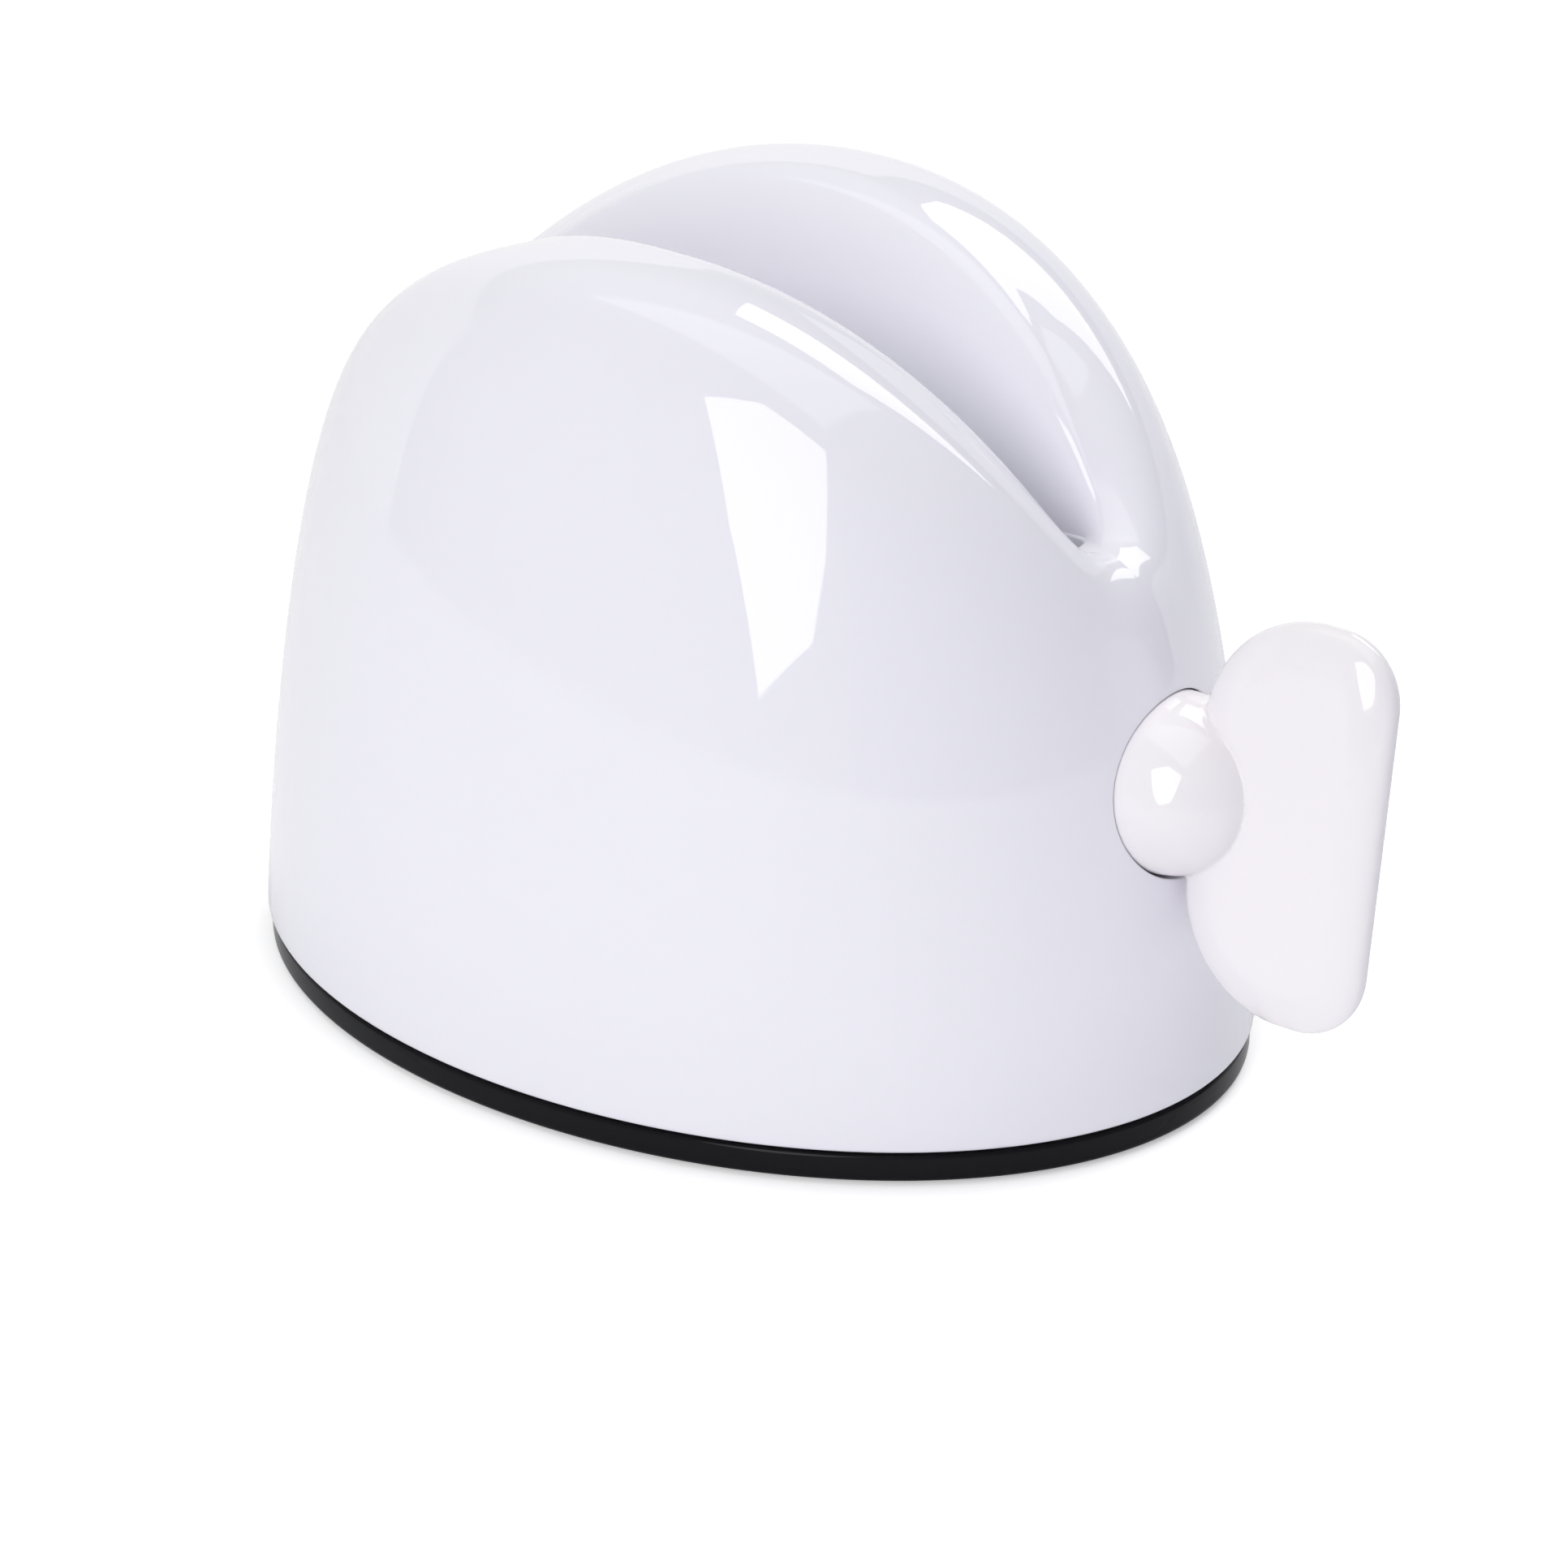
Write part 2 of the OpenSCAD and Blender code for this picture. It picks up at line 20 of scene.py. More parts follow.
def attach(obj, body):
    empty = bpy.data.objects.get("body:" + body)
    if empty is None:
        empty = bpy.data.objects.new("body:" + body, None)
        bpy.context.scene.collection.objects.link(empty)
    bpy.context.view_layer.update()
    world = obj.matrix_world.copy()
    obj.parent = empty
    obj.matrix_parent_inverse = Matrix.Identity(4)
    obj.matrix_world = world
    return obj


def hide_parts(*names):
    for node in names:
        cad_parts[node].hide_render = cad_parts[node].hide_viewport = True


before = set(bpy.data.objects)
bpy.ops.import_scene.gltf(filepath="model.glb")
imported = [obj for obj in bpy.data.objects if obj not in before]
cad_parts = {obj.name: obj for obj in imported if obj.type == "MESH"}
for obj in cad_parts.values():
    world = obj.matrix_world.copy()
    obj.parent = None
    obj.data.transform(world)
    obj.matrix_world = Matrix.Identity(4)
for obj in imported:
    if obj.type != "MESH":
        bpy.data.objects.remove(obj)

LOG = logging.getLogger("squeezer")
MM = 0.001
FULL_TURN = 2 * math.pi
QUARTER = math.pi / 2
SMOOTH_LIMIT = math.radians(38)
# Points nearer to each other than this are one, in metres
WELD = 1e-6
# What every point of a net with a rule is marked with
MARKS = ("turn", "rise", "inner", "fixed")

Colour = tuple[float, float, float]
Profile = Sequence[tuple[float, float]]


class Body(Enum):
    """The bodies of the frame that a piece can ride on."""

    HOUSING = "housing"
    WINDER = "winder"


class Slot(Enum):
    """The record's material slots that the pieces made here take their finish from."""

    SHELL = "shell_white"
    KEY = "key_white"
    BASE = "base_black"
    PAD = "pad_black"


# ---- maths that works on node sockets and on numpy arrays alike


class Val:
    """A socket of a node tree that takes part in Python expressions."""

    def __init__(self, graph: "Graph", socket: bpy.types.NodeSocket) -> None:
        """Wraps one output socket of a graph."""
        self.graph = graph
        self.socket = socket

    def __abs__(self) -> "Val":
        """abs(self)."""
        return self.graph.maths("ABSOLUTE", self)


def operator(operation: str, reflected: bool) -> Callable[[Val, Any], Val]:
    """Makes the method of Val behind one of Python's operators.

    Args:
        operation: the Math node's name for it.
        reflected: whether the Val is the operand on the right.

    Returns:
        The method.
    """
    def method(self: Val, other: Any) -> Val:
        """The operation on the two operands, in their order."""
        return self.graph.maths(operation, *((other, self) if reflected else (self, other)))

    return method


for word, name in (("add", "ADD"), ("sub", "SUBTRACT"), ("mul", "MULTIPLY"),
                   ("truediv", "DIVIDE"), ("pow", "POWER")):
    setattr(Val, f"__{word}__", operator(name, False))
    setattr(Val, f"__r{word}__", operator(name, True))

NUMPY_FORMS = {"SINE": np.sin, "COSINE": np.cos, "SIGN": np.sign,
               "MAXIMUM": np.maximum, "MINIMUM": np.minimum}


def apply(operation: str, *values: Any) -> Any:
    """One step of maths that has no operator, on sockets or on numpy numbers.

    Args:
        operation: the Math node's name for it, such as SINE.
        values: what it works on; if any is a socket, a node is made.

    Returns:
        A socket or an array.
    """
    for value in values:
        if isinstance(value, Val):
            return value.graph.maths(operation, *values)
    return NUMPY_FORMS[operation](*values)


def signed_power(value: Any, exponent: Any) -> Any:
    """The power of a number's size, with the number's own sign."""
    return apply("SIGN", value) * abs(value) ** exponent


class Graph:
    """A node tree and the two ways that this script adds nodes to it."""

    def __init__(self, tree: bpy.types.NodeTree) -> None:
        """Wraps a tree."""
        self.tree = tree

    def node(self, kind: str, settings: dict[str, Any] | None = None,
             inputs: dict[str | int, Any] | None = None) -> bpy.types.Node:
        """Adds a node.

        Args:
            kind: the node's type.
            settings: its properties, set first.
            inputs: a value, socket or Val for each input, by name or place.

        Returns:
            The node.
        """
        made = self.tree.nodes.new(kind)
        for name, value in (settings or {}).items():
            setattr(made, name, value)
        for key, value in (inputs or {}).items():
            self.feed(made.inputs[key], value)
        return made

    def out(self, kind: str, settings: dict[str, Any] | None = None,
            inputs: dict[str | int, Any] | None = None, output: str | int = 0) -> Val:
        """Adds a node and gives one of its outputs as a Val."""
        return Val(self, self.node(kind, settings, inputs).outputs[output])

    def feed(self, socket: bpy.types.NodeSocket, value: Any) -> None:
        """Links a socket or Val to an input, or sets the input's own value."""
        if isinstance(value, Val):
            value = value.socket
        if isinstance(value, bpy.types.NodeSocket):
            self.tree.links.new(value, socket)
        else:
            socket.default_value = value

    def maths(self, operation: str, *values: Any) -> Val:
        """Adds a Math node on the values."""
        return self.out("ShaderNodeMath", {"operation": operation}, dict(enumerate(values)))

    def place(self) -> bpy.types.NodeSocket:
        """Where a point is on its piece, in metres."""
        return self.node("ShaderNodeTexCoord").outputs["Object"]

    def noise(self, place: bpy.types.NodeSocket, size: float, detail: float = 2.0) -> Val:
        """Noise whose cells have a size in millimetres."""
        return self.out("ShaderNodeTexNoise", {}, {"Vector": place, "Scale": 1 / (size * MM),
                                                   "Detail": detail})

    def tint(self, share: Val, first: Colour, second: Colour) -> Val:
        """A colour between two others."""
        return self.out("ShaderNodeMix", {"data_type": "RGBA"},
                        {0: share, 6: (*first, 1), 7: (*second, 1)}, 2)

    def bump(self, height: Val, strength: float, deep: float) -> bpy.types.NodeSocket:
        """The normal of a skin with bumps as deep as given, in millimetres."""
        return self.node("ShaderNodeBump", {}, {"Height": height, "Strength": strength,
                                                "Distance": deep * MM}).outputs["Normal"]

    def skin(self, inputs: dict[str | int, Any]) -> None:
        """Ends a material with a principled surface."""
        skin = self.node("ShaderNodeBsdfPrincipled", {}, inputs)
        self.node("ShaderNodeOutputMaterial", {}, {"Surface": skin.outputs["BSDF"]})

    def dressed(self, geometry: bpy.types.NodeSocket,
                material: bpy.types.Material) -> bpy.types.NodeSocket:
        """Geometry made real and given its finish, which ends a Geometry Nodes tree."""
        real = self.node("GeometryNodeRealizeInstances", {}, {0: geometry})
        return self.node("GeometryNodeSetMaterial", {}, {
            "Geometry": real.outputs[0], "Material": material}).outputs[0]


def blank_graph(owner: bpy.types.Material | bpy.types.World) -> Graph:
    """Gives a material or a world an empty node tree."""
    owner.use_nodes = True
    owner.node_tree.nodes.clear()
    return Graph(owner.node_tree)


# ---- meshes


class Net:
    """Vertices and faces gathered ring by ring, in millimetres."""

    def __init__(self) -> None:
        """Starts empty."""
        self.points: list[np.ndarray] = []
        self.marks: list[np.ndarray] = []
        self.faces: list[tuple[int, ...]] = []
        self.count = 0

    def ring(self, points: np.ndarray, marks: np.ndarray | None = None) -> np.ndarray:
        """Adds a ring of points.

        Args:
            points: their places, one row each.
            marks: the MARKS of each point, where the net has a rule.

        Returns:
            Their indices.
        """
        if marks is None:
            marks = np.tile([0.0, 0.0, 0.0, 1.0], (len(points), 1))
        self.points.append(points)
        self.marks.append(marks)
        self.count += len(points)
        return np.arange(self.count - len(points), self.count)

    def band(self, low: np.ndarray, high: np.ndarray, skip: Iterable[int] = ()) -> None:
        """Joins two rings of as many points with quads, except in the columns skipped."""
        n, left_out = len(low), set(skip)
        for i in range(n):
            if i not in left_out:
                j = (i + 1) % n
                self.faces.append((low[i], low[j], high[j], high[i]))

    def zip(self, first: np.ndarray, first_angles: np.ndarray,
            second: np.ndarray, second_angles: np.ndarray) -> None:
        """Joins two rings of any number of points with triangles, in order of their angles."""
        a, b = np.argsort(first_angles), np.argsort(second_angles)
        i = j = 0
        while i < len(a) or j < len(b):
            next_a = first_angles[a[i]] if i < len(a) else math.inf
            next_b = second_angles[b[j]] if j < len(b) else math.inf
            one, two = first[a[i % len(a)]], second[b[j % len(b)]]
            if next_a <= next_b:
                i += 1
                self.faces.append((one, first[a[i % len(a)]], two))
            else:
                j += 1
                self.faces.append((one, second[b[j % len(b)]], two))

    def bands(self, rings: Sequence[np.ndarray]) -> None:
        """Joins rings in their order."""
        for low, high in zip(rings, rings[1:]):
            self.band(low, high)

    def cap(self, ring: np.ndarray, centre: Sequence[float]) -> None:
        """Closes a ring with a fan to a point in its middle."""
        middle = self.ring(np.array([centre], float))[0]
        n = len(ring)
        self.faces += [(ring[i], ring[(i + 1) % n], middle) for i in range(n)]

    def closed(self, rings: Sequence[np.ndarray], start: Sequence[float],
               end: Sequence[float]) -> "Net":
        """Joins rings in their order and closes the first and the last.

        Args:
            rings: the rings' indices.
            start: the point in the middle of the first.
            end: the point in the middle of the last.

        Returns:
            This net.
        """
        self.bands(rings)
        self.cap(rings[0], start)
        self.cap(rings[-1], end)
        return self

    def mesh(self, name: str, marked: bool = False) -> bpy.types.Mesh:
        """Makes a mesh with its faces pointing outwards.

        Args:
            name: the mesh's name.
            marked: whether the points' marks are kept as attributes.

        Returns:
            The mesh, in metres.
        """
        points, marks = np.vstack(self.points), np.vstack(self.marks)
        used = np.unique(np.concatenate([np.array(f) for f in self.faces]))
        place = np.full(self.count, -1)
        place[used] = np.arange(len(used))
        mesh = bpy.data.meshes.new(name)
        mesh.from_pydata((points[used] * MM).tolist(), [],
                         [tuple(int(place[v]) for v in f) for f in self.faces])
        if marked:
            for k, key in enumerate(MARKS):
                made = mesh.attributes.new(key, "FLOAT", "POINT")
                made.data.foreach_set("value", marks[used, k].astype(np.float32))
        clean(mesh)
        return mesh


def clean(mesh: bpy.types.Mesh, weld: float = 0.0) -> None:
    """Turns faces outwards, after merging the points that are nearer than a distance."""
    work = bmesh.new()
    work.from_mesh(mesh)
    if weld:
        bmesh.ops.remove_doubles(work, verts=work.verts, dist=weld)
        bmesh.ops.dissolve_degenerate(work, dist=weld, edges=work.edges)
    bmesh.ops.recalc_face_normals(work, faces=work.faces)
    work.to_mesh(mesh)
    work.free()


def smooth(mesh: bpy.types.Mesh) -> None:
    """Shades a mesh smooth, with its sharper edges kept sharp."""
    mesh.shade_smooth()
    mesh.set_sharp_from_angle(angle=SMOOTH_LIMIT)


def new_object(name: str, mesh: bpy.types.Mesh) -> bpy.types.Object:
    """Makes an object at the origin and puts it in the scene."""
    made = bpy.data.objects.new(name, mesh)
    bpy.context.scene.collection.objects.link(made)
    return made


def evaluated(source: bpy.types.Object, name: str) -> bpy.types.Mesh:
    """The mesh of an object with its modifiers worked out, after which the object goes."""
    seen = source.evaluated_get(bpy.context.evaluated_depsgraph_get())
    mesh = bpy.data.meshes.new_from_object(seen)
    mesh.name = name
    old = source.data
    bpy.data.objects.remove(source)
    bpy.data.meshes.remove(old)
    return mesh


def through(tree: bpy.types.NodeTree, mesh: bpy.types.Mesh, sizes: dict[str, float],
            name: str) -> bpy.types.Mesh:
    """Puts a mesh through a Geometry Nodes tree.

    Args:
        tree: the tree.
        mesh: what goes in, and is used up.
        sizes: a value for the identifier of each of the tree's other inputs.
        name: the name of what comes out.

    Returns:
        The tree's result as a plain mesh.
    """
    holder = new_object(name + "_draft", mesh)
    step = holder.modifiers.new("tree", "NODES")
    step.node_group = tree
    for identifier, value in sizes.items():
        step[identifier] = value
    return evaluated(holder, name)


class Cut(Enum):
    """Ways to combine two closed meshes."""

    JOIN = "UNION"
    REMOVE = "DIFFERENCE"


def combine(base: bpy.types.Mesh, other: bpy.types.Mesh, how: Cut) -> bpy.types.Mesh:
    """Combines two closed meshes.

    Args:
        base: the mesh that is kept or cut.
        other: the mesh that is added or taken away.
        how: which of the two.

    Returns:
        The combined mesh; both others are used up.
    """
    name = base.name
    first, second = new_object("combine_base", base), new_object("combine_other", other)
    step = first.modifiers.new("combine", "BOOLEAN")
    step.solver = "MANIFOLD"
    step.operation = how.value
    step.object = second
    mesh = evaluated(first, name)
    bpy.data.objects.remove(second)
    bpy.data.meshes.remove(other)
    return mesh


def present(name: str, mesh: bpy.types.Mesh, material: bpy.types.Material, body: Body,
            nodes: Sequence[str] = ()) -> bpy.types.Object:
    """Puts a finished mesh into the model as a piece.

    Args:
        name: the piece's name.
        mesh: its mesh, in place.
        material: its finish.
        body: what it rides on.
        nodes: the CAD nodes that it stands for.

    Returns:
        The piece.
    """
    mesh.materials.clear()
    mesh.materials.append(material)
    clean(mesh, WELD)
    smooth(mesh)
    piece = new_object(name, mesh)
    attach(piece, body.value)
    if nodes:
        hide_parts(*nodes)
    LOG.info("%s: %d faces, rides on %s", name, len(mesh.polygons), body.value)
    return piece


def dress_node(node: str, material: bpy.types.Material) -> None:
    """Gives a CAD node that stays in view a finish of its own."""
    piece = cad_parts[node]
    piece.data.materials.clear()
    piece.data.materials.append(material)
    LOG.info("%s: dressed", node)


def round_angles(steps: int) -> np.ndarray:
    """Even angles all the way round."""
    return np.arange(steps) / steps * FULL_TURN


def about_axis(x: float, radius: float, angles: np.ndarray, axis_z: float) -> np.ndarray:
    """Points at angles round the winding axis."""
    return np.column_stack([np.broadcast_to(x, angles.shape), radius * np.cos(angles),
                            axis_z + radius * np.sin(angles)])


def lathe(profile: Profile, steps: int, axis_z: float) -> Net:
    """Turns a profile about the winding axis.

    Args:
        profile: (x, radius) from one end to the other; both ends are on the axis or near it.
        steps: how many points go round.
        axis_z: the height of the axis.

    Returns:
        A closed net.
    """
    net, angles = Net(), round_angles(steps)
    rings = [net.ring(about_axis(x, r, angles, axis_z)) for x, r in profile]
    return net.closed(rings, (profile[0][0], 0, axis_z), (profile[-1][0], 0, axis_z))


def swept(profile: Profile, half_length: float, half_width: float, steps: int,
          name: str) -> bpy.types.Mesh:
    """Sweeps a profile round an upright axis on ovals, into a closed mesh.

    Args:
        profile: (reach, z) from one end to the other, where reach is added to both half axes.
        half_length: the ovals' half axis along X where the reach is 0.
        half_width: the same along Y.
        steps: how many points go round.
        name: the mesh's name.

    Returns:
        The mesh.
    """
    net, angles = Net(), round_angles(steps)
    rings = [net.ring(np.column_stack([
        (half_length + reach) * np.cos(angles), (half_width + reach) * np.sin(angles),
        np.full(steps, z)])) for reach, z in profile]
    return net.closed(rings, (0, 0, profile[0][1]), (0, 0, profile[-1][1])).mesh(name)


def arc(centre: tuple[float, float], radii: tuple[float, float], start: float, end: float,
        steps: int) -> list[tuple[float, float]]:
    """Points along an arc of an ellipse.

    Args:
        centre: its centre.
        radii: its two half axes.
        start: the first angle, in degrees.
        end: the last angle, in degrees.
        steps: how many steps lie between them.

    Returns:
        The points, both ends included.
    """
    angles = np.radians(np.linspace(start, end, steps + 1))
    return [(centre[0] + radii[0] * math.cos(a), centre[1] + radii[1] * math.sin(a))
            for a in angles]


# ---- finishes


@dataclass(frozen=True)
class Moulded:
    """Moulded plastic: faint cloudiness in its colour and a fine ripple in its skin."""

    name: str
    colour: Colour
    cloud: Colour
    roughness: float = 0.03
    specular: float = 0.5
    ripple: float = 0.02
    ripple_size: float = 4.0
    ripple_deep: float = 0.1
    grain_size: float = 0.35
    grain_share: float = 0.02
    cloud_scale: float = 60.0
    ior: float = 1.5

    def material(self) -> bpy.types.Material:
        """Builds the finish as a node material."""
        made = bpy.data.materials.new(self.name)
        g = blank_graph(made)
        place = g.place()
        cloudy = g.out("ShaderNodeTexNoise", {}, {"Vector": place, "Scale": self.cloud_scale,
                                                  "Detail": 3.0, "Roughness": 0.5})
        wave = g.noise(place, self.ripple_size, 1.0)
        grain = g.noise(place, self.grain_size)
        g.skin({"Base Color": g.tint(cloudy, self.colour, self.cloud),
                "Roughness": self.roughness + (grain - 0.5) * (self.roughness * 0.5),
                "IOR": self.ior, "Specular IOR Level": self.specular,
                "Normal": g.bump(wave + grain * self.grain_share, self.ripple,
                                 self.ripple_deep)})
        return made


@dataclass(frozen=True)
class Rubber:
    """Soft dark rubber or foam with an even pebble grain."""

    name: str
    colour: Colour
    grain_size: float = 0.5
    roughness: float = 0.75
    light: float = 1.8
    cloud_scale: float = 150.0
    pebble_deep: float = 0.05

    def material(self) -> bpy.types.Material:
        """Builds the finish as a node material."""
        made = bpy.data.materials.new(self.name)
        g = blank_graph(made)
        place = g.place()
        pebble = g.out("ShaderNodeTexVoronoi", {}, {"Vector": place,
                                                    "Scale": 1 / (self.grain_size * MM)})
        cloudy = g.out("ShaderNodeTexNoise", {}, {"Vector": place, "Scale": self.cloud_scale})
        g.skin({"Base Color": g.tint(cloudy, self.colour, tuple(c * self.light
                                                                for c in self.colour)),
                "Roughness": self.roughness + (pebble - 0.5) * 0.1,
                "Normal": g.bump(1 - pebble, 0.5, self.pebble_deep)})
        return made


@dataclass(frozen=True)
class PlatedSteel:
    """Bright plated steel with fine drawn lines along one direction."""

    name: str
    colour: Colour = (0.60, 0.61, 0.63)
    dark: float = 0.8
    line_size: float = 0.08
    line_deep: float = 0.01
    roughness: float = 0.22
    stretch: tuple[float, float, float] = (1.0, 1.0, 0.1)

    def material(self) -> bpy.types.Material:
        """Builds the finish as a node material."""
        made = bpy.data.materials.new(self.name)
        g = blank_graph(made)
        drawn = g.node("ShaderNodeMapping", {}, {"Vector": g.place(), "Scale": self.stretch})
        line = g.noise(drawn.outputs[0], self.line_size)
        g.skin({"Base Color": g.tint(line, self.colour, tuple(c * self.dark
                                                              for c in self.colour)),
                "Metallic": 1.0, "Roughness": self.roughness + line * 0.15,
                "Normal": g.bump(line, 0.15, self.line_deep)})
        return made


# ---- the shell


@dataclass(frozen=True)
class SkinRule:
    """The rule that every point of the shell's outer and inner skins follows.

    A point is named by its turn round the shell, its rise, which is 0 at the foot, 1 on the
    crest and 2 at the edge of the slot, and inner, which is 0 on the outer skin and 1 on the
    cavity's. The fields may be numbers or sockets, so that the same rule works out places in
    numpy and builds the Geometry Nodes tree.
    """

    length: Any = 78.0
    width: Any = 57.6
    height: Any = 59.5
    wall: Any = 2.4
    foot_z: Any = 2.68
    foot_round: Any = 0.4
    lip_inset: Any = 9.4
    lip_z: Any = 41.0
    lip_dip: Any = 2.8
    lip_blend: Any = 1.9
    crest_gap: Any = 21.0
    crest_plan: Any = 1.6
    crest_side: Any = 2.07
    crest_rise: Any = 1.48
    flank_in: Any = 3.19
    flank_up: Any = 1.27
    lip_top: Any = 1.9
    lip_drop: Any = 0.1
    cavity_lip: Any = 0.6
    slot_rise: Any = -1.0
    slot_rise_power: Any = 8.0
    slot_width: Any = 4.4
    lip_cup: Any = 0.1
    slot_power: Any = 5.0
    slot_round: Any = 0.25
    throat: Any = 3.5
    funnel_in: Any = 2.33
    funnel_down: Any = 1.24

    def oval(self, turn: Any, inset: Any) -> tuple[Any, Any]:
        """A point of the foot's oval, inset from the shell's own foot."""
        return ((self.length / 2 - inset) * apply("COSINE", turn),
                (self.width / 2 - inset) * apply("SINE", turn))

    def share(self, turn: Any) -> Any:
        """Share of the crest's half length at a turn."""
        return signed_power(apply("COSINE", turn), 2 / self.crest_plan)

    def crest_height(self, u: Any) -> Any:
        """Height of the crest line at a share of its half length."""
        rise = self.height - self.lip_z
        top = rise - self.lip_blend * self.lip_blend / (4 * rise)
        bell = apply("MAXIMUM", 1 - abs(u) ** self.crest_side, 0.0) ** (1 / self.crest_rise)
        d = (top + self.lip_dip) * bell - self.lip_dip
        return self.lip_z + (d + (d * d + self.lip_blend * self.lip_blend) ** 0.5) / 2

    def lip_end(self) -> Any:
        """Height of the lip at the very end of the crest line."""
        dip, blend = self.lip_dip, self.lip_blend
        return self.lip_z + ((dip * dip + blend * blend) ** 0.5 - dip) / 2

    def crest(self, turn: Any, inner: Any) -> tuple[Any, Any, Any]:
        """A point of the crest line."""
        u = self.share(turn)
        x = (self.length / 2 - self.lip_inset + self.cavity_lip * inner) * u
        y = self.crest_gap / 2 * signed_power(apply("SINE", turn), 2 / self.crest_plan)
        return x, y, self.crest_height(u) - self.wall * inner

    def slot(self, turn: Any, inner: Any, grow: Any = 0.0) -> tuple[Any, Any, Any]:
        """A point of the slot's edge, with the slot made wider by grow near its ends."""
        u = self.share(turn)
        near_end = abs(u) ** self.slot_rise_power
        wider = self.wall * inner + grow * near_end
        x = (self.length / 2 - self.lip_inset - self.lip_top + wider) * u
        bulge = apply("MAXIMUM", 1 - abs(u) ** self.slot_power, 0.0) ** (1 / self.slot_power)
        y = (self.slot_width / 2 + wider) * apply("SIGN", apply("SINE", turn)) * bulge
        low = self.lip_end() - self.lip_drop
        outer_z = low + self.slot_rise * (1 - near_end) + self.lip_cup * y * y
        return x, y, outer_z + (low - self.throat - outer_z) * inner

    def point(self, turn: Any, rise: Any, inner: Any) -> tuple[Any, Any, Any]:
        """The place of a point.

        Args:
            turn: its angle round the shell, in radians.
            rise: 0 at the foot, 1 on the crest, 2 at the slot.
            inner: 0 for the outer skin, 1 for the cavity's.

        Returns:
            x, y and z in millimetres.
        """
        flank = apply("MINIMUM", rise, 1.0) * QUARTER
        funnel = apply("MAXIMUM", rise - 1, 0.0) * QUARTER
        foot_x, foot_y = self.oval(turn, self.wall * inner)
        cx, cy, cz = self.crest(turn, inner)
        ex, ey, ez = self.slot(turn, inner, self.slot_round)
        foot_z = self.foot_z + self.foot_round
        over = 1 - apply("MAXIMUM", apply("COSINE", flank), 0.0) ** (2 / self.flank_in)
        up = apply("SINE", flank) ** (2 / self.flank_up)
        across = apply("SINE", funnel) ** (2 / self.funnel_in)
        down = 1 - apply("MAXIMUM", apply("COSINE", funnel), 0.0) ** (2 / self.funnel_down)
        return (foot_x + (cx - foot_x) * over + (ex - cx) * across,
                foot_y + (cy - foot_y) * over + (ey - cy) * across,
                foot_z + (cz - foot_z) * up + (ez - cz) * down)


@dataclass
class Bearings:
    """Sizes of the two bearings in the shell's end walls."""

    axis_z: float = 25.8
    hole_r: float = 6.55
    hole_round: float = 0.18
    sleeve_x: float = 30.86
    sleeve_r: float = 8.75
    pivot_face_x: float = -31.16
    pivot_bore_r: float = 3.05
    pivot_boss_r: float = 5.35
    pivot_deep: float = 4.1


